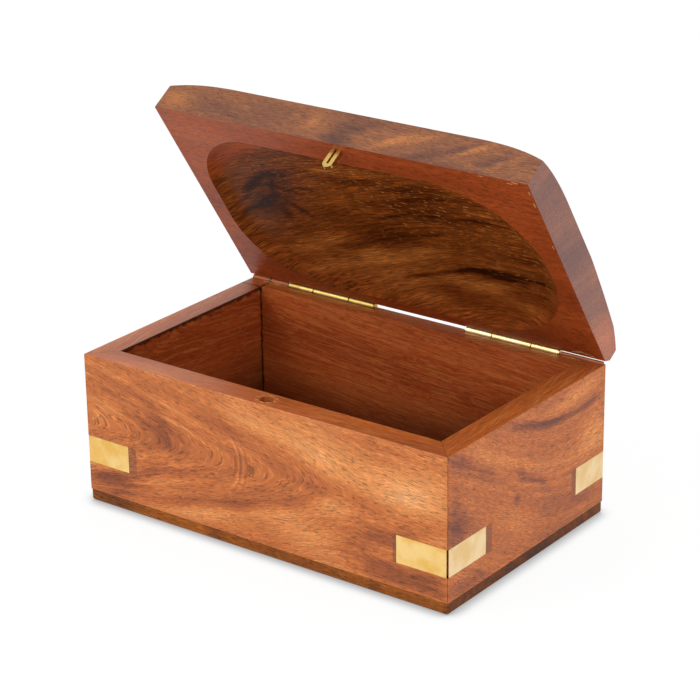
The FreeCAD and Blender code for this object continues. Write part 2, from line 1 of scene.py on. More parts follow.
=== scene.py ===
"""Looks of a small hinged wooden box with brass plates let into its corners.

The frame is the packed part's own: metres, X along the front, -Y the front, +Z up. Sizes that belong to a
finish are in millimetres on the board, because every finish reads its place on the board in millimetres.
"""
import json
import math
from collections import namedtuple

import bpy
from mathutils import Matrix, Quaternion, Vector

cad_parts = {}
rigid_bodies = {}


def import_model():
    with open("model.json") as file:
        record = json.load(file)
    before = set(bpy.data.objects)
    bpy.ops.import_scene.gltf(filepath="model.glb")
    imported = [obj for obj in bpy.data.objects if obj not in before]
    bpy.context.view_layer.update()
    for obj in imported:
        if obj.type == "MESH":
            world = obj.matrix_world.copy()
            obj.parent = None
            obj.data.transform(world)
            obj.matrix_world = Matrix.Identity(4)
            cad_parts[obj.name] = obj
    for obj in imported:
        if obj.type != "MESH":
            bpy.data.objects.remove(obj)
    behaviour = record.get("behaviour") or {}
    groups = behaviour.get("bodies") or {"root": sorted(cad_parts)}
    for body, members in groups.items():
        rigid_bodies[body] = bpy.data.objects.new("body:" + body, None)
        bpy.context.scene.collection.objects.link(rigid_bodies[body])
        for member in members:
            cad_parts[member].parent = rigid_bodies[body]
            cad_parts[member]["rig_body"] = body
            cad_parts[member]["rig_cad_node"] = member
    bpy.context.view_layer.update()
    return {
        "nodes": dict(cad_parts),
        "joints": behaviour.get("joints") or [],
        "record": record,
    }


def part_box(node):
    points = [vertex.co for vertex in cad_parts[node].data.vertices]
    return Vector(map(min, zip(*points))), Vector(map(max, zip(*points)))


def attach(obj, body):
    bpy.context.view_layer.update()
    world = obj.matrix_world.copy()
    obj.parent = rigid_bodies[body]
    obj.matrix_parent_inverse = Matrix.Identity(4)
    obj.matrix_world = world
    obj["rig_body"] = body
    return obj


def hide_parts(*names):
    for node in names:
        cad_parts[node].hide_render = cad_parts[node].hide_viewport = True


MILLIMETRE = 0.001
QUARTER = math.radians(90)

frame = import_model()

NODES = frame["nodes"]
BODIES = {node: body for body, nodes in frame["record"]["behaviour"]["bodies"].items() for node in nodes}
HINGE = frame["joints"][0]
HINGE_AXIS = Vector(HINGE["pos_m"])
LID_OPEN = -math.radians(HINGE["range_deg"][0])
LID_FORWARD = Vector((0, -math.cos(LID_OPEN), math.sin(LID_OPEN)))
LID_UP = Vector((0, math.sin(LID_OPEN), math.cos(LID_OPEN)))
LID_UNDERSIDE = 0.25
RIM_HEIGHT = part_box("front_wall")[1].z / MILLIMETRE


class Finish:
    """A material in the making, with one short call for each kind of node."""

    def __init__(self, name):
        self.material = bpy.data.materials.new(name)
        self.material.use_nodes = True
        self.tree = self.material.node_tree
        self.shader = self.tree.nodes["Principled BSDF"]

    def node(self, kind, **settings):
        node = self.tree.nodes.new(kind)
        for name, value in settings.items():
            setattr(node, name, value)
        return node

    def feed(self, socket, value):
        """Link another node's output to a socket, or write a plain value into it."""
        if isinstance(value, bpy.types.NodeSocket):
            self.tree.links.new(value, socket)
        else:
            socket.default_value = value

    def set(self, name, value):
        self.feed(self.shader.inputs[name], value)

    def mapped(self, vector, location, turn, scale):
        """The vector seen from a frame that stands at this place, turned and scaled like this."""
        mapping = self.node("ShaderNodeMapping", vector_type="TEXTURE")
        mapping.inputs["Location"].default_value = location
        mapping.inputs["Rotation"].default_value = turn
        mapping.inputs["Scale"].default_value = scale
        self.feed(mapping.inputs["Vector"], vector)
        return mapping.outputs["Vector"]

    def place(self, location=(0, 0, 0), turn=(0, 0, 0)):
        """Millimetres on a board whose own axes stand at this place, turned this way."""
        coordinates = self.node("ShaderNodeTexCoord")
        return self.mapped(coordinates.outputs["Object"], location, turn, (MILLIMETRE,) * 3)

    def calc(self, operation, *values, clamp=False):
        node = self.node("ShaderNodeMath", operation=operation, use_clamp=clamp)
        for socket, value in zip(node.inputs, values):
            self.feed(socket, value)
        return node.outputs["Value"]

    def move(self, operation, *values, output="Vector"):
        node = self.node("ShaderNodeVectorMath", operation=operation)
        for socket, value in zip(node.inputs, values):
            self.feed(socket, value)
        return node.outputs[output]

    def split(self, vector):
        node = self.node("ShaderNodeSeparateXYZ")
        self.feed(node.inputs["Vector"], vector)
        return node.outputs["X"], node.outputs["Y"], node.outputs["Z"]

    def join(self, x, y, z):
        node = self.node("ShaderNodeCombineXYZ")
        for socket, value in zip(node.inputs, (x, y, z)):
            self.feed(socket, value)
        return node.outputs["Vector"]

    def noise(self, vector, stretch=(1, 1, 1), detail=2.0, roughness=0.5, output="Fac"):
        """Cloudy noise, with the stretch in cycles for each millimetre."""
        node = self.node("ShaderNodeTexNoise")
        self.feed(node.inputs["Vector"], self.move("MULTIPLY", vector, stretch))
        node.inputs["Scale"].default_value = 1.0
        node.inputs["Detail"].default_value = detail
        node.inputs["Roughness"].default_value = roughness
        return node.outputs[output]

    def bands(self, position, scale, detail, roughness=0.5):
        """Uneven bands along one number."""
        node = self.node("ShaderNodeTexNoise", noise_dimensions="1D")
        self.feed(node.inputs["W"], position)
        node.inputs["Scale"].default_value = scale
        node.inputs["Detail"].default_value = detail
        node.inputs["Roughness"].default_value = roughness
        return node.outputs["Fac"]

    def ease(self, value, low, high, bottom=0.0, top=1.0):
        """A smooth step from bottom to top as the value goes from low to high."""
        node = self.node("ShaderNodeMapRange", interpolation_type="SMOOTHSTEP")
        for socket, number in zip(node.inputs, (value, low, high, bottom, top)):
            self.feed(socket, number)
        return node.outputs["Result"]

    def blend(self, base, *layers):
        """A number plus each layer's swing about its middle of a half, times the layer's share."""
        total = base
        for layer, share in layers:
            total = self.calc("MULTIPLY_ADD", self.calc("SUBTRACT", layer, 0.5), share, total)
        return total

    def colours(self, factor, *stops):
        node = self.node("ShaderNodeValToRGB")
        elements = node.color_ramp.elements
        while len(elements) < len(stops):
            elements.new(0.5)
        for element, (position, colour) in zip(elements, stops):
            element.position = position
            element.color = (*colour, 1)
        self.feed(node.inputs["Fac"], factor)
        return node.outputs["Color"]

    def mix(self, factor, low, high, blend="MIX"):
        node = self.node("ShaderNodeMix", data_type="RGBA", blend_type=blend)
        sockets = [s for s in node.inputs if s.enabled]
        for socket, value in zip(sockets, (factor, low, high)):
            self.feed(socket, (*value, 1) if isinstance(value, tuple) else value)
        return next(s for s in node.outputs if s.enabled)

    def dim(self, colour, factor):
        """The colour, darkened or brightened by a number."""
        return self.mix(1.0, colour, self.join(factor, factor, factor), "MULTIPLY")

    def bump(self, height, strength, distance):
        """Surface relief, with the distance in millimetres."""
        node = self.node("ShaderNodeBump")
        node.inputs["Strength"].default_value = strength
        node.inputs["Distance"].default_value = distance * MILLIMETRE
        self.feed(node.inputs["Height"], height)
        self.set("Normal", node.outputs["Normal"])


Streak = namedtuple("Streak", "along height reach width slope shade depth thick tilt",
                    defaults=(0.0, 6.0, 0.0))
Streak.__doc__ = """A soft streak in a board, in millimetres and degrees: where its middle is, its half-length
and half-width, its slope along the board, how much it darkens (or, below nothing, lightens) the wood, how
deep it lies and reaches, and how it tilts into the board."""

Curl = namedtuple("Curl", "along height reach width radius pitch strength")
Curl.__doc__ = """A patch of rippled figure: fine arcs of about one radius, with their pitch in cycles for
each millimetre."""

Grain = namedtuple("Grain", "along depth height tone fibres flecks threads pores")
Grain.__doc__ = """The grain at a place on a board: the place in millimetres, how light the wood is there, and
how much of each fine line crosses it."""

# How fast each part of the figure changes along, into and up the board, in cycles for each millimetre.
DRIFT_PACE = (0.012, 0.03, 0.03)
RIPPLE_PACE = (0.1, 0.25, 0.25)
CLOUD_PACE = (0.018, 0.05, 0.05)
SILK_PACE = (0.025, 0.35, 0.35)
FIBRE_PACE = (0.08, 1.2, 1.2)
THREAD_PACE = (0.03, 2.8, 2.8)
FLECK_PACE = Vector((0.3, 4.0, 4.0))
PORE_PACE = Vector((0.34, 4.2, 4.2))
BAND_PACE, RING_PACE = 0.075, 0.5

# How much each part of the figure lightens and darkens the wood.
BAND_SHARE, RING_SHARE, CLOUD_SHARE, SILK_SHARE, FIBRE_SHARE = 0.46, 0.31, 0.35, 0.26, 0.09

# Between which levels of its noise a fine line comes up.
FLECK_LEVELS, THREAD_LEVELS, PORE_LEVELS = (0.52, 0.62), (0.52, 0.64), (0.35, 0.43)

# How far apart in the noise two seeds lie, and two kinds of line.
SAMPLE_STEP, STRAND_STEP, RING_STEP = 100, 50, 30
PORE_STEP, THREAD_STEP = (37, 37, 37), (71, 71, 71)

NOISE_MIDDLE = 0.5
DRIFT_SIZE = 7.0
STREAK_STRENGTH = 0.8
STREAK_CORE, STREAK_RIM = -0.1, 1.3
STREAK_SILK, STREAK_FIBRES = 0.7, 0.5
BEND_REACH = 14.0
CALM_SPACING, CALM_RING = 0.6, 19.0
CURL_CORE, CURL_RIM, CURL_DEPTH = 0.2, 1.1, 10


class Board:
    """How a board lies in the box and in the log.

    Its own axes run along the grain, into the board from its outer face, and up. The heart is where the
    middle of the log passes, as a height and a depth, and the taper is how fast the rings close along it.
    The bend is the slope of the grain in the board's first part, and the height at which it levels off.
    The depth share is how fast the fibres change from layer to layer, and the openness is how many times
    wider the pores and pale flecks are than in the finest board. The calm is where along the board the
    arches of the rings begin to give way to straight grain, and where they are gone.
    """

    def __init__(self, location, turn, heart, taper, seed, streaks=(), ripple=0.9, bend=None, curl=None,
                 depth_share=1.0, openness=1.0, calm=None):
        self.location = location
        self.turn = turn
        self.heart_height, self.heart_depth = heart
        self.taper = taper
        self.seed = seed
        self.streaks = streaks
        self.ripple = ripple
        self.bend = bend
        self.curl = curl
        self.depth_share = depth_share
        self.openness = openness
        self.calm = calm


def growth(finish, board):
    """The board's grain: growth rings round the log's heart, wavy fibres, open pores and smoky streaks."""
    place = finish.place(board.location, board.turn)
    sample = finish.move("ADD", place, (board.seed * SAMPLE_STEP,) * 3)
    drift = finish.noise(sample, DRIFT_PACE, detail=3.0, output="Color")
    ripple = finish.noise(sample, RIPPLE_PACE, detail=2.0, output="Color")
    warped = place
    for wave, size in ((drift, DRIFT_SIZE), (ripple, board.ripple)):
        swing = finish.move("SUBTRACT", wave, (NOISE_MIDDLE,) * 3)
        warped = finish.move("ADD", warped, finish.move("MULTIPLY", swing, (size,) * 3))
    ring = ring_distance(finish, board, *finish.split(warped))

    along, depth, _ = finish.split(warped)
    layer = finish.calc("MULTIPLY", depth, board.depth_share)
    strands = finish.move("ADD", finish.join(along, layer, ring), (board.seed * STRAND_STEP,) * 3)
    pore_strands, thread_strands = (finish.move("ADD", strands, step) for step in (PORE_STEP, THREAD_STEP))
    fibres = finish.noise(strands, FIBRE_PACE, detail=2.0, roughness=0.6)
    silk = finish.noise(strands, SILK_PACE, detail=3.0, roughness=0.55)
    flecks = finish.noise(strands, FLECK_PACE / board.openness, detail=1.0)
    pores = finish.noise(pore_strands, PORE_PACE / board.openness, detail=1.0)
    threads = finish.noise(thread_strands, THREAD_PACE, detail=1.0)

    tone = finish.blend(
        NOISE_MIDDLE,
        (finish.bands(ring, BAND_PACE, detail=2.0), BAND_SHARE),
        (finish.bands(ring, RING_PACE, detail=3.0, roughness=0.65), RING_SHARE),
        (finish.noise(sample, CLOUD_PACE, detail=3.0), CLOUD_SHARE),
        (silk, SILK_SHARE),
        (fibres, FIBRE_SHARE),
    )
    ragged = finish.blend(0.0, (silk, STREAK_SILK), (fibres, STREAK_FIBRES))
    for streak in board.streaks:
        tone = finish.calc("SUBTRACT", tone, streak_shade(finish, streak, warped, ragged))
    if board.curl:
        tone = finish.calc("ADD", tone, rippled_figure(finish, board.curl, warped))
    return Grain(*finish.split(place), tone, fibres, finish.ease(flecks, *FLECK_LEVELS),
                 finish.ease(threads, *THREAD_LEVELS), finish.ease(pores, *PORE_LEVELS))


def streak_shade(finish, streak, warped, ragged):
    """How much a streak darkens a place, fading to nothing at its ragged edge."""
    spot = finish.mapped(warped, (streak.along, streak.depth, streak.height),
                         (0, -math.radians(streak.slope), math.radians(streak.tilt)),
                         (streak.reach, streak.thick, streak.width))
    distance = finish.calc("ADD", finish.move("LENGTH", spot, output="Value"), ragged)
    return finish.ease(distance, STREAK_CORE, STREAK_RIM, streak.shade * STREAK_STRENGTH, 0.0)


def ring_distance(finish, board, along, depth, height):
    """How far a place in the board is from the heart of the log, with the rings closing along the log."""
    if board.bend:
        slope, level = board.bend
        meet = "SMOOTH_MIN" if slope > 0 else "SMOOTH_MAX"
        flow = finish.calc(meet, finish.calc("MULTIPLY", along, slope), level, BEND_REACH)
        height = finish.calc("SUBTRACT", height, flow)
    rise = finish.calc("SUBTRACT", height, board.heart_height)
    inward = finish.calc("SUBTRACT", depth, board.heart_depth)
    radius = finish.calc("SQRT", finish.calc("ADD", finish.calc("MULTIPLY", rise, rise),
                                             finish.calc("MULTIPLY", inward, inward)))
    ring = finish.calc("MULTIPLY_ADD", along, board.taper, radius)
    if board.calm:
        share = finish.ease(along, *board.calm)
        straight = finish.calc("MULTIPLY_ADD", finish.calc("ABSOLUTE", rise), CALM_SPACING, CALM_RING)
        ring = finish.calc("MULTIPLY_ADD", share, finish.calc("SUBTRACT", straight, ring), ring)
    return finish.calc("ADD", ring, board.seed * RING_STEP)


def rippled_figure(finish, curl, warped):
    """How much the curl lightens or darkens the wood."""
    level = (0, 0, 0)
    arcs = finish.mapped(warped, (curl.along - curl.radius, 0, curl.height), level, (1, CURL_DEPTH, 1))
    patch = finish.mapped(warped, (curl.along, 0, curl.height), level, (curl.reach, CURL_DEPTH, curl.width))
    from_middle, off_patch = (finish.move("LENGTH", spot, output="Value") for spot in (arcs, patch))
    share = finish.ease(off_patch, CURL_CORE, CURL_RIM, curl.strength, 0.0)
    wave = finish.calc("SUBTRACT", finish.bands(from_middle, curl.pitch, detail=1.0), NOISE_MIDDLE)
    return finish.calc("MULTIPLY", wave, share)


PORE_DEPTH, FLECK_SHINE = 0.5, 0.36
FIBRE_LEVELS, FIBRE_SHADES = (0.3, 0.7), (0.92, 1.07)


def paint(finish, grain, tones, pore_depth=PORE_DEPTH, fleck_shine=FLECK_SHINE, thread_shine=0.0):
    """The colour of the wood: its tone through a row of colours, with fibres, pale lines and dark pores."""
    colour = finish.colours(grain.tone, *tones)
    shade = finish.ease(grain.fibres, *FIBRE_LEVELS, *FIBRE_SHADES)
    for lines, least, most in ((grain.flecks, 1.0, 1.0 + fleck_shine),
                               (grain.threads, 1.0, 1.0 + thread_shine),
                               (grain.pores, 1.0 - pore_depth, 1.0)):
        shade = finish.calc("MULTIPLY", shade, finish.ease(lines, 0.0, 1.0, least, most))
    return finish.dim(colour, shade)


SHEEN_LEVELS, SMOOTHER, ROUGHER = (0.2, 0.8), 0.06, 0.1
PORE_RELIEF, FIBRE_RELIEF = 0.7, 0.3
RELIEF_STRENGTH, RELIEF_DEPTH = 0.35, 0.05


def polish(finish, grain, roughness, shine):
    """A thin oil finish: satin, a little uneven, with the pores still open."""
    uneven = finish.ease(grain.fibres, *SHEEN_LEVELS, roughness - SMOOTHER, roughness + ROUGHER)
    finish.set("Roughness", uneven)
    finish.set("Specular IOR Level", shine)
    fibres = finish.calc("MULTIPLY", grain.fibres, FIBRE_RELIEF)
    finish.bump(finish.calc("MULTIPLY_ADD", grain.pores, PORE_RELIEF, fibres), RELIEF_STRENGTH, RELIEF_DEPTH)


OUTER_ROUGHNESS, OUTER_SHINE = 0.4, 0.2
INNER_ROUGHNESS, INNER_SHINE = 0.38, 0.45
DISH_ROUGHNESS, DISH_SHINE = 0.42, 0.05


def wood(name, board, tones, shine=OUTER_SHINE, pore_depth=PORE_DEPTH, fleck_shine=FLECK_SHINE):
    """An oiled board."""
    finish = Finish(name)
    grain = growth(finish, board)
    finish.set("Base Color", paint(finish, grain, tones, pore_depth, fleck_shine))
    polish(finish, grain, OUTER_ROUGHNESS, shine)
    return finish.material


SIDE_THICKNESS = 9.0
GOLD_SHARE, GOLD = 0.42, (0.46, 0.165, 0.040)
# Painted shade low inside the box: how it leans along the board, the heights over which it lifts, and its
# darkest and lightest levels.
PAINTED_SHADE_LEAN, PAINTED_SHADE_HEIGHTS, PAINTED_SHADE_LEVELS = 0.1, (4.0, 38.0), (0.2, 1.08)
RIM_START, RIM_FULL = RIM_HEIGHT - 0.4, RIM_HEIGHT - 0.1
SCUFF_PACE, SCUFF_LEVELS = (0.04, 3.4, 3.4), (0.62, 0.7)
SCUFF_TURN, SCUFF_SHARE, SCUFF = math.radians(14), 0.3, (0.62, 0.33, 0.12)
WOBBLE_PACE = (0.35, 0.35, 0.35)
TORN_WOBBLE, TORN_SHADE = 4.0, 0.75
TORN_HEIGHTS = (RIM_HEIGHT - 1.6, RIM_HEIGHT - 1.0)
TORN_DEPTHS = (SIDE_THICKNESS - 0.5, SIDE_THICKNESS - 0.3)
CRACK_WOBBLE, CRACK_REACH, CRACK_SHADE = 1.6, (0.2, 0.7), 0.15


def inner_wood(name, board, crack=None, torn=False):
    """The inner face and the rim of a wall: a deeper red, with long pale fibres and light scuffs on the rim.

    A crack is a dark open joint at that place along the board, and torn is a rough edge under the rim.
    """
    finish = Finish(name)
    grain = growth(finish, board)
    colour = paint(finish, grain, SHADED_INSIDE_TONES, pore_depth=0.34, fleck_shine=0.24, thread_shine=0.15)
    colour = finish.mix(finish.calc("MULTIPLY", grain.threads, GOLD_SHARE), colour, GOLD)
    # Painted shade: the inner face darkens towards the bottom of the box.
    up = finish.calc("MULTIPLY_ADD", grain.along, PAINTED_SHADE_LEAN, grain.height)
    colour = finish.dim(colour, finish.ease(up, *PAINTED_SHADE_HEIGHTS, *PAINTED_SHADE_LEVELS))
    rim_share = finish.ease(grain.height, RIM_START, RIM_FULL)
    rim = paint(finish, grain, RIM_TONES, pore_depth=0.26, fleck_shine=0.24, thread_shine=0.4)
    colour = finish.mix(rim_share, colour, rim)
    colour = finish.mix(finish.calc("MULTIPLY", scuffs(finish, board), rim_share), colour, SCUFF)
    wobble = finish.noise(finish.place(board.location), WOBBLE_PACE, detail=3.0)
    # The rough torn edge under the rim, darkened further by a painted shadow.
    if torn:
        colour = finish.dim(colour, torn_edge_and_shadow(finish, grain, wobble))
    if crack:
        off = finish.calc("SUBTRACT", finish.blend(grain.along, (wobble, CRACK_WOBBLE)), crack)
        off = finish.calc("ABSOLUTE", off)
        colour = finish.dim(colour, finish.ease(off, *CRACK_REACH, CRACK_SHADE, 1.0))
    finish.set("Base Color", colour)
    polish(finish, grain, INNER_ROUGHNESS, INNER_SHINE)
    return finish.material


def scuffs(finish, board):
    """How much of a pale scuff crosses a place, at a small angle to the grain."""
    turn = (*board.turn[:2], board.turn[2] + SCUFF_TURN)
    lines = finish.noise(finish.place(board.location, turn), SCUFF_PACE, detail=1.0)
    return finish.ease(lines, *SCUFF_LEVELS, 0.0, SCUFF_SHARE)


def torn_edge_and_shadow(finish, grain, wobble):
    """How much light is left on the rough inner edge under the rim."""
    under_rim = finish.ease(finish.blend(grain.height, (wobble, TORN_WOBBLE)), *TORN_HEIGHTS)
    inside = finish.calc("MULTIPLY", finish.ease(grain.depth, *TORN_DEPTHS), TORN_SHADE)
    return finish.calc("SUBTRACT", 1.0, finish.calc("MULTIPLY", under_rim, inside))


SKIN_LEAN, SKIN_FRAY, SKIN_EDGE = -0.76, 6.0, (105.0, 113.0)
SAPWOOD_LEAN, SAPWOOD_FRAY, SAPWOOD_SHADE = 0.8, 12.0, 0.8
CORNER_EDGE, CORNER_SHARE = (12.0, 36.0), 0.6
LOW_EDGE, LOW_SHARE = (12.0, 32.0), 0.32
# Painted glints in the dish: their pace, the levels at which they show, and their colour.
GLINT_PACE, GLINT_LEVELS, GLINT_COLOUR = (0.3, 0.0, 1.8), (0.62, 0.7), (0.48, 0.19, 0.05)
FAR_LEAN, FAR_EDGE, FAR_SHARES = 0.35, (30.0, 75.0), (0.2, 0.8)


def dish_wood(name, board):
    """Dark heartwood in the dish under the lid, with red wood left at its upper left and low down."""
    finish = Finish(name)
    grain = growth(finish, board)
    past_corner = finish.calc("MULTIPLY_ADD", grain.along, SKIN_LEAN, grain.height)
    skin = finish.ease(finish.blend(past_corner, (grain.fibres, SKIN_FRAY)), *SKIN_EDGE)

    downward = finish.calc("MULTIPLY", grain.height, -1.0)
    low_corner = finish.calc("MULTIPLY_ADD", grain.along, SAPWOOD_LEAN, downward)
    frayed_corner, frayed_height = (finish.blend(edge, (grain.fibres, SAPWOOD_FRAY))
                                    for edge in (low_corner, grain.height))
    sapwood = finish.calc("MAXIMUM", finish.ease(frayed_corner, *CORNER_EDGE, 0.0, CORNER_SHARE),
                          finish.ease(frayed_height, *LOW_EDGE, LOW_SHARE, 0.0))

    # The raised fleck shine is partly the wood's pale flecks and partly painted glints; the specks below are
    # painted glints on the far side of the dish.
    heartwood = paint(finish, grain, DISH_TONES, pore_depth=0.55, fleck_shine=0.7, thread_shine=0.4)
    dots = finish.noise(finish.place(board.location, board.turn), GLINT_PACE, detail=1.0)
    far_side = finish.calc("MULTIPLY_ADD", grain.along, FAR_LEAN, grain.height)
    painted_glints = finish.calc("MULTIPLY", finish.ease(dots, *GLINT_LEVELS),
                         finish.ease(far_side, *FAR_EDGE, *FAR_SHARES))
    heartwood = finish.mix(painted_glints, heartwood, GLINT_COLOUR)

    red = paint(finish, grain, LID_SKIN_TONES)
    below_skin = finish.mix(sapwood, heartwood, finish.dim(red, SAPWOOD_SHADE))
    finish.set("Base Color", finish.mix(skin, below_skin, red))
    polish(finish, grain, DISH_ROUGHNESS, DISH_SHINE)
    return finish.material


CLOUD_LEVELS = (0.35, 0.65)
SPLINTER_PACE, SPLINTER_DARK, SPLINTER_PALE = (0.8, 0.8, 2.5), (0.32, 0.12, 0.028), (0.52, 0.25, 0.065)
JOINT_PACE, JOINT_DARK, JOINT_PALE = (0.3, 0.3, 0.3), (0.026, 0.009, 0.005), (0.10, 0.032, 0.015)
DULL_ROUGHNESS = 0.8


def raw_wood():
    """Pale torn wood, with no oil on it."""
    finish = Finish("raw_wood")
    fibres = finish.ease(finish.noise(finish.place(), SPLINTER_PACE, detail=3.0), *CLOUD_LEVELS)
    finish.set("Base Color", finish.mix(fibres, SPLINTER_DARK, SPLINTER_PALE))
    finish.set("Roughness", DULL_ROUGHNESS)
    return finish.material


def joint_glue_and_shade():
    """The dark line of old glue and dust in a joint."""
    finish = Finish("dark_joint")
    dust = finish.noise(finish.place(), JOINT_PACE, detail=3.0)
    finish.set("Base Color", finish.mix(dust, JOINT_DARK, JOINT_PALE))
    finish.set("Roughness", DULL_ROUGHNESS)
    return finish.material


PATINA_PACE, SCRATCH_PACE, SCRATCH_LEVELS = (0.12, 0.12, 0.12), (0.5, 0.5, 7.0), (0.25, 0.75)
BRUSHED_SMOOTHER, BRUSHED_ROUGHER = 0.05, 0.07
SCRATCH_STRENGTH, SCRATCH_DEPTH = 0.1, 0.015


def brass(name, tone, pale, roughness):
    """Brushed sheet brass with a paler, cloudy patina."""
    finish = Finish(name)
    place = finish.place()
    clouds = finish.noise(place, PATINA_PACE, detail=3.0, roughness=0.55)
    finish.set("Base Color", finish.mix(finish.ease(clouds, *CLOUD_LEVELS), tone, pale))
    finish.set("Metallic", 1.0)
    scratches = finish.noise(place, SCRATCH_PACE, detail=3.0)
    finish.set("Roughness", finish.ease(scratches, *SCRATCH_LEVELS, roughness - BRUSHED_SMOOTHER,
                                        roughness + BRUSHED_ROUGHER))
    finish.bump(scratches, SCRATCH_STRENGTH, SCRATCH_DEPTH)
    return finish.material


# The colours of each wood, from its darkest tone to its lightest.
# The front's lightest tones are paler and bluer, partly the wood and partly a painted sheen along its upper
# part.
FRONT_TONES = (
    (0.0, (0.15, 0.042, 0.019)),
    (0.25, (0.30, 0.081, 0.025)),
    (0.5, (0.47, 0.137, 0.035)),
    (0.75, (0.63, 0.245, 0.074)),
    (1.0, (0.74, 0.39, 0.180)),
)
SIDE_TONES = (
    (0.0, (0.15, 0.044, 0.024)),
    (0.25, (0.29, 0.080, 0.030)),
    (0.5, (0.46, 0.130, 0.034)),
    (0.75, (0.60, 0.200, 0.052)),
    (1.0, (0.70, 0.275, 0.085)),
)
# Deeper and redder than the outside, partly the wood and partly painted shade of the box's inside.
SHADED_INSIDE_TONES = (
    (0.0, (0.15, 0.022, 0.004)),
    (0.5, (0.32, 0.056, 0.010)),
    (1.0, (0.50, 0.130, 0.029)),
)
RIM_TONES = (
    (0.0, (0.17, 0.036, 0.006)),
    (0.5, (0.30, 0.066, 0.011)),
    (1.0, (0.46, 0.135, 0.026)),
)
LID_TONES = (
    (0.0, (0.070, 0.029, 0.021)),
    (0.35, (0.155, 0.057, 0.030)),
    (0.6, (0.245, 0.088, 0.034)),
    (1.0, (0.49, 0.178, 0.050)),
)
# The lid's end faces take purpler tones, partly the end grain and partly a painted sheen.
LID_END_TONES = (
    (0.0, (0.085, 0.036, 0.034)),
    (0.35, (0.17, 0.066, 0.052)),
    (0.6, (0.25, 0.092, 0.056)),
    (1.0, (0.48, 0.140, 0.064)),
)
DISH_TONES = (
    (0.0, (0.026, 0.005, 0.0008)),
    (0.3, (0.076, 0.016, 0.0022)),
    (0.6, (0.165, 0.040, 0.0060)),
    (1.0, (0.39, 0.125, 0.024)),
)
LID_SKIN_TONES = (
    (0.0, (0.17, 0.027, 0.005)),
    (0.5, (0.28, 0.050, 0.009)),
    (1.0, (0.40, 0.090, 0.019)),
)
BASE_TONES = (
    (0.0, (0.075, 0.028, 0.018)),
    (0.3, (0.17, 0.050, 0.012)),
    (0.6, (0.32, 0.094, 0.012)),
    (1.0, (0.46, 0.150, 0.020)),
)
FILLER_TONES = (
    (0.0, (0.16, 0.050, 0.022)),
    (1.0, (0.40, 0.125, 0.045)),
)

FRONT_STREAKS = (
    Streak(-62, 45, 22, 4.5, 0, 0.3),
    Streak(-40, 35, 12, 5.0, -52, 0.3),
    Streak(-46, 49.8, 14, 2.4, 0, 0.2),
    Streak(-30, 30, 36, 11.0, 0, 0.34),
    Streak(-18, 44, 13, 3.6, -10, 0.26),
    Streak(3, 37, 12, 3.4, -18, 0.2),
    Streak(22, 30.6, 12, 2.6, -9, 0.24),
    Streak(16, 24.3, 14, 2.7, 21, 0.22),
    Streak(-8, 17, 14, 3.0, 16, 0.26),
    Streak(-35, 10.3, 15, 2.7, 11, 0.22),
    Streak(-48, 19.3, 18, 3.4, 8, 0.3),
    Streak(-64, 11.5, 18, 5.0, 4, 0.65),
    Streak(-47, 38.5, 17, 4.5, -8, 0.28),
    Streak(2, 23.5, 11, 3.5, 12, 0.2),
    Streak(70, 9.5, 8, 5.0, 0, 0.3),
    Streak(-66, 3.5, 13, 4.2, 10, 0.32),
    Streak(50, 20, 24, 6.5, 25, 0.34),
    Streak(56, 8, 24, 6.0, -4, 0.42),
    Streak(-6, 51, 15, 6.8, -25, -0.2),
    Streak(28, 43, 30, 10.0, -10, -0.36),
    Streak(62, 38, 20, 11.0, 0, -0.42),
    Streak(28, 27, 12, 6.0, 0, -0.3),
    Streak(17, 13, 23, 7.5, -8, -0.2),
    Streak(-24, 8.4, 23, 4.5, 6, -0.26),
    Streak(-67, 34, 9, 6.8, -40, -0.1),
)
RIGHT_STREAKS = (
    Streak(0, 50.3, 14, 2.4, -18, 0.65),
    Streak(17, 45.8, 14, 2.4, -8, 0.8),
    Streak(36, 44.4, 14, 2.0, 4, 0.7),
    Streak(-40, 50, 12, 4.0, -30, 0.42),
    Streak(-26, 41.5, 13, 2.6, -30, 0.42),
    Streak(-4.8, 35, 5, 2.4, -55, 0.34),
    Streak(4, 28.6, 12, 2.2, -30, 0.36),
    Streak(-7.5, 26.4, 2.4, 2.6, 0, 0.4),
    Streak(-42, 29, 8, 6.8, -40, 0.38),
    Streak(-43, 39, 3.5, 6.8, 0, 0.2),
    Streak(34, 11.5, 15, 4.2, -8, 0.3),
    Streak(-34, 6.5, 17, 4.2, -5, 0.4),
    Streak(16, 15, 14, 5.0, -10, 0.2),
    Streak(-5, 12, 17, 7.0, -25, -0.2),
    Streak(-15, 20, 15, 6.0, -20, -0.1),
    Streak(40, 33, 12, 8.5, 0, -0.45),
    Streak(30, 51.5, 20, 4.0, 4, -0.5),
    Streak(-28, 52, 9, 3.3, -38, -0.1),
)
DISH_DEPTH, DISH_REACH = 3.0, 5.0


def in_dish(along, height, reach, width, slope, shade):
    """A streak in the dish under the lid, its height measured forward from the hinge axis."""
    return Streak(along, height, reach, width, slope, shade, DISH_DEPTH, DISH_REACH)
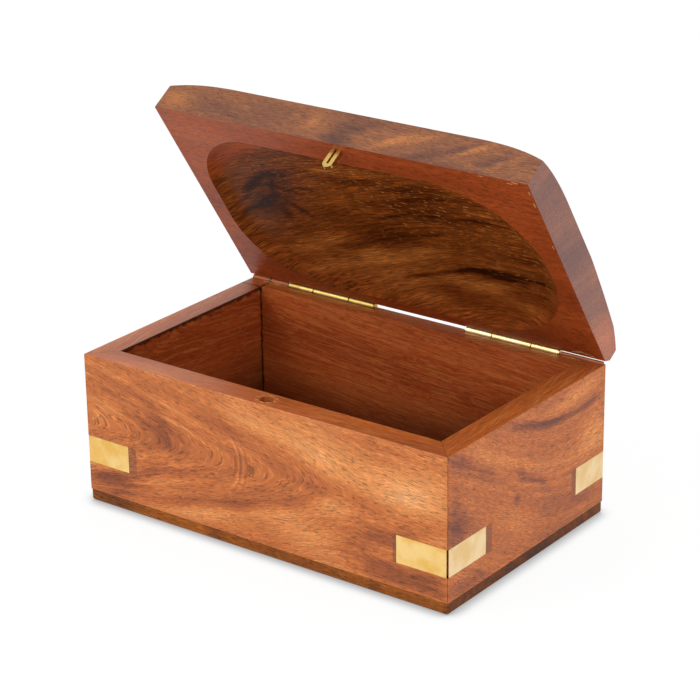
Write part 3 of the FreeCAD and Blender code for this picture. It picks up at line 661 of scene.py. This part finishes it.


# The lightening streaks low in the dish are partly pale figure of the wood and partly a painted sheen.
DISH_STREAKS_AND_SHEEN = (
    in_dish(-53.5, 52.5, 12, 2.2, 38, 0.7),
    in_dish(-50.0, 45.5, 10, 1.8, 34, 0.6),
    in_dish(-39.0, 61.5, 9, 1.7, 3, 0.5),
    in_dish(-37.0, 54.0, 9, 1.7, -6, 0.45),
    in_dish(-36.0, 45.0, 8, 1.9, -30, 0.5),
    in_dish(-44.0, 41.0, 3, 4.0, 0, 0.4),
    in_dish(-61.0, 38.0, 9, 1.6, 34, 0.4),
    in_dish(-50.0, 23.5, 13, 2.0, 18, 0.4),
    in_dish(-20.0, 30.0, 12, 1.6, 20, 0.3),
    in_dish(6.0, 21.5, 17, 1.5, 26, 0.75),
    in_dish(26.0, 30.3, 9, 1.5, 20, 0.8),
    in_dish(38.0, 33.3, 9, 1.7, 8, 0.85),
    in_dish(56.0, 33.8, 13, 1.5, 0, 0.8),
    in_dish(46.0, 31.2, 9, 1.5, 4, 0.5),
    in_dish(7.5, 53.5, 12, 1.0, 25, 0.6),
    in_dish(24.0, 58.8, 9, 1.2, 14, 0.5),
    in_dish(44.0, 61.5, 15, 2.2, 0, 0.5),
    in_dish(-8.0, 67.0, 22, 3.4, 10, 0.34),
    in_dish(18.0, 47.0, 14, 3.0, 22, 0.26),
    in_dish(58.0, 45.0, 9, 2.2, 4, 0.3),
    in_dish(46.0, 65.6, 13, 1.1, 4, -0.45),
    in_dish(44.0, 37.5, 13, 1.4, 3, -0.4),
    in_dish(12.0, 37.0, 16, 3.5, 22, -0.3),
    in_dish(-10.0, 28.0, 16, 6.0, 25, -0.36),
    in_dish(33.0, 23.0, 15, 4.5, 10, -0.5),
    in_dish(-32.0, 15.0, 22, 6.0, 10, -0.4),
    in_dish(5.0, 11.0, 16, 5.0, 8, -0.5),
    in_dish(50.0, 17.0, 14, 5.0, 0, -0.3),
    in_dish(-16.0, 71.0, 9, 0.9, 10, -0.5),
    in_dish(22.0, 70.0, 26, 7.0, 4, 0.4),
    in_dish(-44.0, 55.0, 20, 10.0, 30, 0.5),
    in_dish(-52.0, 42.0, 14, 8.0, 30, 0.35),
    in_dish(-44.0, 53.0, 2.0, 6.0, -12, 0.3),
    in_dish(-30.0, 56.5, 8, 1.2, 10, 0.4),
    in_dish(-58.0, 47.0, 9, 1.2, 40, 0.4),
    in_dish(18.0, 60.0, 24, 7.0, 10, 0.3),
    in_dish(2.0, 41.5, 20, 7.5, 22, 0.4),
    in_dish(36.0, 57.5, 11, 3.5, 8, 0.35),
    in_dish(40.0, 32.4, 14, 3.0, 4, 0.5),
    in_dish(-44.0, 23.0, 20, 7.0, 16, -0.5),
    in_dish(-27.0, 32.0, 12, 5.0, 20, -0.35),
    in_dish(-4.0, 17.0, 16, 5.5, 6, -0.45),
    in_dish(-4.0, 24.0, 44, 13.0, 14, -0.52),
    in_dish(44.0, 77.0, 14, 5.0, 0, -0.35),
    in_dish(-48.0, 77.0, 14, 5.0, 8, -0.3),
    in_dish(38.0, 20.0, 26, 8.0, 4, -0.25),
)
LID_FRONT, EDGE_REACH = 92.0, 16.0


def on_edge(along, depth, reach, thick, tilt, shade):
    """A streak in the lid's front edge, at this height above the underside."""
    return Streak(along, LID_FRONT, reach, EDGE_REACH, 0, shade, depth, thick, tilt)


LID_STREAKS = (
    Streak(76.4, 8.0, 4.0, 20.0, 0, -0.6, 4.0, 12.0),
    on_edge(0.5, 5.0, 10.0, 6.5, 55, 0.45),
    on_edge(8.0, 9.5, 9.0, 3.0, 30, 0.3),
    on_edge(-33.0, 6.0, 20.0, 7.0, 0, 0.22),
    on_edge(-13.0, 7.0, 6.0, 3.0, 60, -0.2),
    on_edge(22.0, 7.0, 13.0, 2.2, 32, -0.42),
    on_edge(32.0, 10.0, 10.0, 2.0, 28, -0.35),
    on_edge(36.0, 3.8, 14.0, 2.2, 25, 0.35),
    on_edge(47.0, 8.5, 8.0, 1.6, 32, 0.25),
    on_edge(52.0, 9.5, 10.0, 1.6, 30, -0.32),
    on_edge(60.0, 6.5, 9.0, 2.4, 30, 0.32),
    on_edge(68.0, 9.0, 8.0, 1.6, 30, -0.2),
    on_edge(52.0, 1.2, 30.0, 2.6, 0, 0.3),
    on_edge(-70.0, 6.0, 10.0, 8.0, 0, -0.4),
)
# Painted sheen lightens the left of the front rim, and painted shade darkens its right.
RIM_SHEEN_AND_SHADE = (
    Streak(-55, 55, 40, 20.0, 0, -0.28),
    Streak(60, 55, 40, 20.0, 0, 0.45),
)
# Painted sheen along the left rim.
LEFT_RIM_SHEEN = (
    Streak(0, 56, 60, 4.0, 0, -0.4),
)
# The first is a painted sheen that lightens the front left of the lid's underside; the others darken the
# wood.
LID_SKIN_STREAKS_AND_SHEEN = (
    Streak(-62, 78, 34, 24.0, 0, -0.32, 0.25, 8.0),
    Streak(74, 40, 8, 44.0, 0, 0.2, 0.25, 8.0),
    Streak(38, 86, 50, 9.0, 0, 0.2, 0.25, 8.0),
)
BASE_STREAKS = (
    Streak(76.5, 2, 3.0, 30.0, 0, 0.55, 47, 90),
    Streak(-66, 2, 16, 6.0, 0, 0.25),
    Streak(-20, 3, 6, 4.0, 20, 0.3),
    Streak(48, 2, 5, 3.0, 20, 0.25),
)

INNER_CORNER = 67.0
INNER_BACK = 39.4
OUTWARD = {"front_wall": Vector((0, -1, 0)), "right_wall": Vector((1, 0, 0)),
           "back_wall": Vector((0, 1, 0)), "left_wall": Vector((-1, 0, 0))}
FRONT_CURL = Curl(along=-10.8, height=31.0, reach=17.0, width=13.0, radius=14.0, pitch=0.85, strength=0.5)


def lay_boards():
    """How each board lies in the box and in its log."""
    box_low, box_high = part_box("base_board")
    front = ((0, box_low.y, 0), (0, 0, 0))
    right = ((box_high.x, 0, 0), (0, 0, QUARTER))
    back = ((0, box_high.y, 0), (0, 0, 2 * QUARTER))
    left = ((box_low.x, 0, 0), (0, 0, -QUARTER))
    lid = (HINGE_AXIS, (QUARTER - LID_OPEN, 0, 0))
    return {
        "front_wall": Board(*front, heart=(31.0, 14.0), taper=0.16, seed=3.1, streaks=FRONT_STREAKS,
                            ripple=0.8, curl=FRONT_CURL, calm=(14.0, 48.0)),
        "front_inner": Board(*front, heart=(-60.0, 20.0), taper=0.03, seed=3.7, streaks=RIM_SHEEN_AND_SHADE),
        "right_wall": Board(*right, heart=(-40.0, 12.0), taper=0.0, seed=8.4, streaks=RIGHT_STREAKS,
                            ripple=1.0, bend=(-0.5, -6.0)),
        "right_inner": Board(*right, heart=(-60.0, 20.0), taper=0.03, seed=8.9),
        "back_wall": Board(*back, heart=(70.0, 20.0), taper=0.06, seed=5.2),
        "left_wall": Board(*left, heart=(60.0, 25.0), taper=0.08, seed=1.7, streaks=LEFT_RIM_SHEEN),
        "base_board": Board(*front, heart=(-30.0, 20.0), taper=0.05, seed=6.6, streaks=BASE_STREAKS),
        "lid": Board(*lid, heart=(-60.0, -40.0), taper=0.05, seed=2.3, streaks=LID_STREAKS),
        "lid_skin": Board(*lid, heart=(-60.0, -40.0), taper=0.05, seed=2.9, streaks=LID_SKIN_STREAKS_AND_SHEEN),
        "dish": Board(*lid, heart=(-80.0, -10.0), taper=0.0, seed=4.4, streaks=DISH_STREAKS_AND_SHEEN,
                      ripple=1.0, bend=(0.42, 13.0), depth_share=0.12, openness=1.9),
    }


def dress(boards):
    """Give every piece its finish."""
    finishes = {
        "front_wall": wood("front_wall_rosewood", boards["front_wall"], FRONT_TONES,
                           pore_depth=0.42, fleck_shine=0.28),
        "right_wall": wood("right_wall_rosewood", boards["right_wall"], SIDE_TONES),
        "back_wall": wood("back_wall_rosewood", boards["back_wall"], SIDE_TONES),
        "left_wall": wood("left_wall_rosewood", boards["left_wall"], SIDE_TONES),
        "base_board": wood("base_rosewood", boards["base_board"], BASE_TONES, shine=0.08),
        "lid": wood("lid_rosewood", boards["lid"], LID_TONES, shine=0.22),
        "inlay_filler_strips": wood("dark_filler", boards["front_wall"], FILLER_TONES),
        "lid_catch": brass("catch_brass", (0.48, 0.29, 0.065), (0.64, 0.42, 0.12), roughness=0.3),
    }
    front_brass = brass("front_plate_brass", (0.85, 0.49, 0.12), (0.94, 0.65, 0.25), roughness=0.3)
    # The side plates' brass is the front's made paler with a painted sheen.
    side_brass_with_painted_sheen = brass("side_plate_brass", (0.82, 0.55, 0.24), (0.90, 0.68, 0.38), roughness=0.34)
    # One brass for both hinges, painted darker on the left as shaded and lighter on the right as lit.
    shaded_hinge_brass = brass("left_hinge_brass", (0.40, 0.26, 0.07), (0.56, 0.40, 0.13), roughness=0.36)
    lit_hinge_brass = brass("right_hinge_brass", (0.74, 0.53, 0.22), (0.92, 0.75, 0.40), roughness=0.34)
    plates = {"front": front_brass, "back": front_brass, "left": side_brass_with_painted_sheen, "right": side_brass_with_painted_sheen}
    for name, piece in NODES.items():
        if name.startswith("brass_inlay"):
            wall = name.split("_")[2]
            material = plates[wall]
        elif name.startswith("left_hinge"):
            material = shaded_hinge_brass
        else:
            material = finishes.get(name, lit_hinge_brass)
        piece.data.materials.clear()
        piece.data.materials.append(material)


def deselect():
    bpy.ops.object.select_all(action="DESELECT")


SHARP_ANGLE = math.radians(40)
MITRE_LEAN = 0.4
CORNER_LENGTH = 20 * MILLIMETRE
OPEN_CORNER = Vector((60, -30, 0)) * MILLIMETRE
FILLER_LENGTH, RECESS_SPARE = 4.2, 0.3


def select_sharp_edges(board, wanted):
    """In edit mode afterwards, with the sharp edges selected whose middle and direction are wanted."""
    bpy.ops.mesh.select_mode(type="EDGE")
    bpy.ops.mesh.select_all(action="DESELECT")
    bpy.ops.mesh.edges_select_sharp(sharpness=SHARP_ANGLE)
    bpy.ops.object.mode_set(mode="OBJECT")
    points = board.data.vertices
    for edge in board.data.edges:
        begin, end = (points[index].co for index in edge.vertices)
        edge.select = edge.select and wanted((begin + end) / 2, end - begin)
    bpy.ops.object.mode_set(mode="EDIT")


def is_mitre(run):
    """True for an edge along a mitre, on the rim or up a corner."""
    flat = run.xy.normalized() if run.xy.length > MILLIMETRE else Vector((1, 0))
    return abs(abs(flat.x) - abs(flat.y)) < MITRE_LEAN or abs(run.z) > CORNER_LENGTH


def plate_recesses():
    """A little more than the box of each brass plate and of the filler at its end."""
    recesses = []
    for name in NODES:
        if name.startswith("brass_inlay"):
            low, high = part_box(name)
            side = Vector((1, 0, 0)) if high.x - low.x > high.y - low.y else Vector((0, 1, 0))
            spare = (side * FILLER_LENGTH + Vector((RECESS_SPARE,) * 3)) * MILLIMETRE
            recesses.append((low - spare, high + spare))
    return recesses


PLATE_RECESSES = plate_recesses()


def is_by_plate(middle):
    return any(all(low[axis] < middle[axis] < high[axis] for axis in range(3))
               for low, high in PLATE_RECESSES)


def is_open_joint(middle, run):
    """True for an edge that shows dark: round a brass plate, or in the open mitre at the front right."""
    at_open_corner = middle.x > OPEN_CORNER.x and middle.y < OPEN_CORNER.y
    return is_by_plate(middle) or (is_mitre(run) and at_open_corner)


MERGE_DISTANCE = 0.005 * MILLIMETRE
FLAT_ANGLE = math.radians(0.1)


def start_copy(node):
    """A merged copy of a packed piece, left selected in edit mode."""
    deselect()
    packed = NODES[node]
    piece = packed.copy()
    piece.data = packed.data.copy()
    piece.parent = None
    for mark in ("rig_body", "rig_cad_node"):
        del piece[mark]
    piece.name = f"worn_{node}"
    bpy.context.scene.collection.objects.link(piece)
    piece.select_set(True)
    bpy.context.view_layer.objects.active = piece
    bpy.ops.object.mode_set(mode="EDIT")
    bpy.ops.mesh.select_all(action="SELECT")
    bpy.ops.mesh.remove_doubles(threshold=MERGE_DISTANCE)
    bpy.ops.mesh.dissolve_limited(angle_limit=FLAT_ANGLE)
    return piece


def end_copy(piece, node):
    """Put the worn copy in the packed piece's place."""
    bpy.ops.object.mode_set(mode="OBJECT")
    bpy.ops.object.shade_smooth_by_angle(angle=SHARP_ANGLE)
    bpy.ops.object.modifier_add(type="WEIGHTED_NORMAL")
    flatten = piece.modifiers[-1]
    flatten.keep_sharp = True
    bpy.ops.object.modifier_apply(modifier=flatten.name)
    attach(piece, BODIES[node])
    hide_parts(node)


def coat(board, material, wanted):
    """Give a finish to the faces of a board whose middle and normal are wanted."""
    board.data.materials.append(material)
    board.active_material_index = len(board.data.materials) - 1
    bpy.ops.mesh.select_mode(type="FACE")
    bpy.ops.mesh.select_all(action="DESELECT")
    bpy.ops.object.mode_set(mode="OBJECT")
    for face in board.data.polygons:
        face.select = wanted(face.center, face.normal)
    bpy.ops.object.mode_set(mode="EDIT")
    bpy.ops.object.material_slot_assign()


WORN_EDGE = 0.25
JOINT_EDGE = 0.27
KNUCKLE_EDGE = 0.08
FACES_OUT, FACES_SIDEWAYS = 0.5, 0.6
FACES_DOWN, LEANS_DOWN = -0.9, -0.2
LEVEL_SPARE = 0.05
DISH_START = 5


def wear_edges(board, width, wanted=lambda middle, run: True):
    select_sharp_edges(board, wanted)
    bpy.ops.mesh.bevel(offset=width * MILLIMETRE, segments=2, clamp_overlap=True)


def wear_wall(node, inner, dark_joint):
    """A wall with its red inner side, its sawn edges worn round and its joints dark with glue."""
    wall = start_copy(node)
    coat(wall, inner, lambda middle, normal: normal.dot(OUTWARD[node]) < FACES_OUT)
    wear_edges(wall, WORN_EDGE, lambda middle, run: not (is_mitre(run) or is_by_plate(middle)))
    # Dark bevels in the open joints: glue and dust, and painted shade in the gaps.
    wall.data.materials.append(dark_joint)
    dark_slot = len(wall.data.materials) - 1
    select_sharp_edges(wall, is_open_joint)
    bpy.ops.mesh.bevel(offset=JOINT_EDGE * MILLIMETRE, segments=1, clamp_overlap=True, material=dark_slot)
    end_copy(wall, node)


def wear_lid(skin, dish, end):
    """The lid with its worn edges, its end grain, its red underside and its dark dish, crisp at its edge."""
    lid = start_copy("lid")

    def is_end(middle, normal):
        return abs(normal.x) > FACES_SIDEWAYS

    def above_underside(middle):
        return (middle - HINGE_AXIS).dot(LID_UP) / MILLIMETRE - LID_UNDERSIDE

    def is_underside(middle, normal):
        return normal.dot(LID_UP) < FACES_DOWN and abs(above_underside(middle)) < LEVEL_SPARE

    def is_dish(middle, normal):
        forward = (middle - HINGE_AXIS).dot(LID_FORWARD) / MILLIMETRE
        hollow = normal.dot(LID_UP) < LEANS_DOWN and above_underside(middle) > LEVEL_SPARE
        return hollow and forward > DISH_START

    coat(lid, end, is_end)
    coat(lid, skin, is_underside)
    coat(lid, dish, is_dish)
    bpy.ops.mesh.region_to_loop()
    bpy.ops.mesh.mark_sharp()
    wear_edges(lid, WORN_EDGE)
    end_copy(lid, "lid")


def wear_pieces(boards):
    """Give the boards and the hinges worn edges. The walls' inner finishes go to what is added on the rim."""
    dark_joint = joint_glue_and_shade()
    inners = {
        "front_wall": inner_wood("front_inner_rosewood", boards["front_inner"]),
        "right_wall": inner_wood("right_inner_rosewood", boards["right_inner"]),
        "back_wall": inner_wood("back_inner_rosewood", boards["back_wall"], crack=INNER_CORNER),
        "left_wall": inner_wood("left_inner_rosewood", boards["left_wall"], crack=-INNER_BACK, torn=True),
    }
    for node, inner in inners.items():
        wear_wall(node, inner, dark_joint)
    wear_lid(wood("lid_skin_rosewood", boards["lid_skin"], LID_SKIN_TONES),
             dish_wood("dish_rosewood", boards["dish"]),
             wood("lid_end_rosewood", boards["lid"], LID_END_TONES, shine=0.45))
    leaves = [f"{side}_hinge_{leaf}_leaf" for side in ("left", "right") for leaf in ("box", "lid")]
    for node, width in [("base_board", WORN_EDGE)] + [(leaf, KNUCKLE_EDGE) for leaf in leaves]:
        piece = start_copy(node)
        wear_edges(piece, width)
        end_copy(piece, node)
    return inners


BEAD_SIDES = 24
BEAD_GAP, BEAD_INSET = 0.4, 0.5
LEFT_BEAD, RIGHT_BEAD = 1.0, 0.7


def fill_hinge_line(name, left, right, radius, material):
    """A low bead of wood on the back rim, round the hinge axis, so that the lid turns clear of it."""
    deselect()
    middle = (left + right) / 2 * MILLIMETRE
    bpy.ops.mesh.primitive_cylinder_add(
        vertices=BEAD_SIDES, radius=radius * MILLIMETRE, depth=(right - left) * MILLIMETRE,
        location=(middle, HINGE_AXIS.y, HINGE_AXIS.z), rotation=(0, QUARTER, 0))
    bead = bpy.context.object
    bead.name = name
    bead.data.materials.append(material)
    bpy.ops.object.transform_apply(location=True, rotation=True, scale=True)
    bpy.ops.object.shade_smooth_by_angle(angle=SHARP_ANGLE)
    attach(bead, "box")


SPLINTER_WIDTH, SPLINTER_HEIGHT = 0.5, 0.3
SPLINTER_RADIUS, SPLINTER_ROUGH = 0.5, 0.12
FIRST_SEED = 3

# Each splinter is its place along and across the rim, its length, and its turn on the rim.
CATCH_HOLE_SPLINTERS = (
    (-2.6, -42.4, 2.0, 0.15), (4.2, -42.6, 2.0, -0.2), (-2.0, -40.7, 2.2, 0.3), (3.5, -40.5, 2.2, -0.3),
    (0.6, -39.6, 2.8, 0.05), (-1.7, -44.7, 2.0, -0.4), (3.3, -44.6, 2.2, 0.4), (0.9, -45.4, 2.4, 0.0),
)
HINGE_END_SPLINTERS = (
    (-68.6, 45.0, 3.0, 0.1), (-66.4, 44.8, 2.4, -0.2), (-64.2, 45.2, 3.4, 0.1), (-63.0, 44.6, 2.6, 0.3),
    (-60.4, 45.0, 2.4, 0.0), (61.5, 44.8, 4.0, 0.0), (64.8, 44.9, 5.0, -0.05),
)
# On the lid, the place is along the hinge axis and forward from it.
LID_EDGE_SPLINTERS = (
    (58.4, 91.4, 2.0, 0), (71.2, 91.4, 3.0, 0), (69.0, 90.6, 2.2, 0), (75.4, 87.6, 2.0, QUARTER),
    (75.4, 82.0, 2.6, QUARTER), (75.4, 61.0, 1.8, QUARTER), (65.0, 2.6, 3.4, 0), (67.2, 3.2, 3.8, 0),
    (69.8, 2.8, 3.2, 0), (71.6, 2.3, 2.0, 0),
)


def on_rim(along, across):
    return Vector((along, across, RIM_HEIGHT)) * MILLIMETRE


def on_lid(along, forward):
    sideways = Vector((along * MILLIMETRE, 0, 0))
    return HINGE_AXIS + sideways + (LID_FORWARD * forward + LID_UP * LID_UNDERSIDE) * MILLIMETRE


def tear_fibres(name, splinters, surface, tilt, body, material):
    """Small splinters of pale wood on a surface that is tilted about the box's length."""
    chips = []
    for number, (along, across, length, turn) in enumerate(splinters):
        deselect()
        bpy.ops.mesh.primitive_ico_sphere_add(subdivisions=2, radius=SPLINTER_RADIUS * MILLIMETRE)
        chip = bpy.context.object
        bpy.ops.object.mode_set(mode="EDIT")
        bpy.ops.mesh.select_all(action="SELECT")
        bpy.ops.transform.vertex_random(offset=SPLINTER_ROUGH * MILLIMETRE, seed=number + FIRST_SEED)
        bpy.ops.object.mode_set(mode="OBJECT")
        chip.rotation_mode = "ZYX"
        chip.scale = (length, SPLINTER_WIDTH, SPLINTER_HEIGHT)
        chip.rotation_euler = (tilt, 0, turn)
        chip.location = surface(along, across)
        bpy.ops.object.transform_apply(location=True, rotation=True, scale=True)
        chips.append(chip)
    deselect()
    for chip in chips:
        chip.select_set(True)
    bpy.context.view_layer.objects.active = chips[0]
    bpy.ops.object.join()
    torn = bpy.context.object
    torn.name = name
    torn.data.materials.append(material)
    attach(torn, body)


def add_torn_wood(inners):
    """Raw wood that the makers left: round the catch's hole, at the hinges' ends and along the lid's edge."""
    raw = raw_wood()
    left_end, right_end = (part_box(f"{side}_hinge_pin")[end].x / MILLIMETRE
                           for side, end in (("left", 0), ("right", 1)))
    rear_left, rear_right = (corner.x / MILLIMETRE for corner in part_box("back_wall"))
    rim_wood = inners["back_wall"]
    fill_hinge_line("left_rim_bead", rear_left + BEAD_INSET, left_end - BEAD_GAP, LEFT_BEAD, rim_wood)
    fill_hinge_line("right_rim_bead", right_end + BEAD_GAP, rear_right - BEAD_INSET, RIGHT_BEAD, rim_wood)
    tear_fibres("torn_catch_hole", CATCH_HOLE_SPLINTERS, on_rim, 0, "box", raw)
    tear_fibres("torn_hinge_end", HINGE_END_SPLINTERS, on_rim, 0, "box", raw)
    tear_fibres("torn_lid_edge", LID_EDGE_SPLINTERS, on_lid, -LID_OPEN, "lid", raw)


FLOOR_SIZE, FLOOR_WHITE, FLOOR_ROUGHNESS = 8.0, (0.95, 0.95, 0.95, 1), 0.9
CONTACT_REACH, CONTACT_SAMPLES = 6.0, 16
CONTACT_LEVELS, CONTACT_SHADE = (0.4, 1.0), 0.48
WHITE_SHARE = 0.92


def make_floor():
    """A white floor that keeps the box's shadow, darkest close to where the box stands."""
    deselect()
    bpy.ops.mesh.primitive_plane_add(size=FLOOR_SIZE, location=(0, 0, 0))
    floor = bpy.context.object
    floor.name = "studio_floor"
    finish = Finish("white_floor")
    finish.set("Base Color", FLOOR_WHITE)
    finish.set("Roughness", FLOOR_ROUGHNESS)
    finish.set("Specular IOR Level", 0.0)
    # Painted contact shadow: the white glow dims where ambient occlusion finds the box within reach.
    contact = finish.node("ShaderNodeAmbientOcclusion", samples=CONTACT_SAMPLES)
    contact.inputs["Distance"].default_value = CONTACT_REACH * MILLIMETRE
    glow = finish.node("ShaderNodeEmission")
    strength = finish.ease(contact.outputs["AO"], *CONTACT_LEVELS, CONTACT_SHADE, 1.0)
    finish.feed(glow.inputs["Strength"], strength)
    blend = finish.node("ShaderNodeMixShader")
    finish.feed(blend.inputs["Fac"], finish.calc("MULTIPLY", seen_directly(finish), WHITE_SHARE))
    finish.feed(blend.inputs[1], finish.shader.outputs["BSDF"])
    finish.feed(blend.inputs[2], glow.outputs["Emission"])
    output = finish.tree.nodes["Material Output"]
    finish.feed(output.inputs["Surface"], blend.outputs["Shader"])
    floor.data.materials.append(finish.material)


def seen_directly(finish):
    """1 for rays from the camera, a reflection or through glass, and 0 for rays that carry light."""
    path = finish.node("ShaderNodeLightPath")
    direct = finish.calc("ADD", path.outputs["Is Camera Ray"], path.outputs["Is Glossy Ray"])
    return finish.calc("ADD", direct, path.outputs["Is Transmission Ray"], clamp=True)


class Sky(Finish):
    """The world's node tree, with the same short calls."""

    def __init__(self, ambient):
        world = bpy.data.worlds.new("white_studio")
        world.use_nodes = True
        bpy.context.scene.world = world
        self.tree = world.node_tree
        background = self.tree.nodes["Background"]
        background.inputs["Color"].default_value = (1, 1, 1, 1)
        strength = self.ease(seen_directly(self), 0.0, 1.0, ambient, 1.0)
        self.feed(background.inputs["Strength"], strength)


SOFTBOX_SIZE = 1.8
LIT_POINT = Vector((0, 0, 0.05))
AMBIENT = 0.6


def add_softbox(name, location, power):
    """A square lamp in the studio, turned to the box."""
    light = bpy.data.lights.new(name, "AREA")
    light.shape = "SQUARE"
    light.size = SOFTBOX_SIZE
    light.energy = power
    lamp = bpy.data.objects.new(name, light)
    lamp.location = location
    lamp.rotation_euler = (LIT_POINT - Vector(location)).to_track_quat("-Z", "Y").to_euler()
    bpy.context.scene.collection.objects.link(lamp)


def light_studio():
    Sky(ambient=AMBIENT)
    add_softbox("key_softbox", (-1.4, -2.0, 1.8), 35.0)
    add_softbox("fill_softbox", (2.0, -1.0, 1.4), 19.0)
    add_softbox("top_softbox", (0.0, 0.6, 2.6), 24.0)
    bpy.context.scene.view_settings.view_transform = "Standard"


AZIMUTH, ELEVATION, ROLL = (math.radians(angle) for angle in (36.907, 21.797, -0.792))
CAMERA_DISTANCE = 0.8494
CAMERA_TARGET = Vector((0.0045, -0.00165, 0.060))
LENS, SENSOR_WIDTH, CLIP_START = 129.12, 36.0, 0.05


def add_camera():
    """The photograph's viewpoint, found by fitting the box's corners."""
    level_reach = math.cos(ELEVATION)
    back = Vector((math.sin(AZIMUTH) * level_reach, -math.cos(AZIMUTH) * level_reach, math.sin(ELEVATION)))
    data = bpy.data.cameras.new("photo_camera")
    data.lens = LENS
    data.sensor_width = SENSOR_WIDTH
    data.clip_start = CLIP_START
    camera = bpy.data.objects.new("photo_camera", data)
    camera.location = CAMERA_TARGET + back * CAMERA_DISTANCE
    upright = (-back).to_track_quat("-Z", "Y")
    camera.rotation_euler = (upright @ Quaternion((0, 0, 1), ROLL)).to_euler()
    bpy.context.scene.collection.objects.link(camera)
    bpy.context.scene.camera = camera


boards = lay_boards()
dress(boards)
add_torn_wood(wear_pieces(boards))
make_floor()
add_camera()
light_studio()
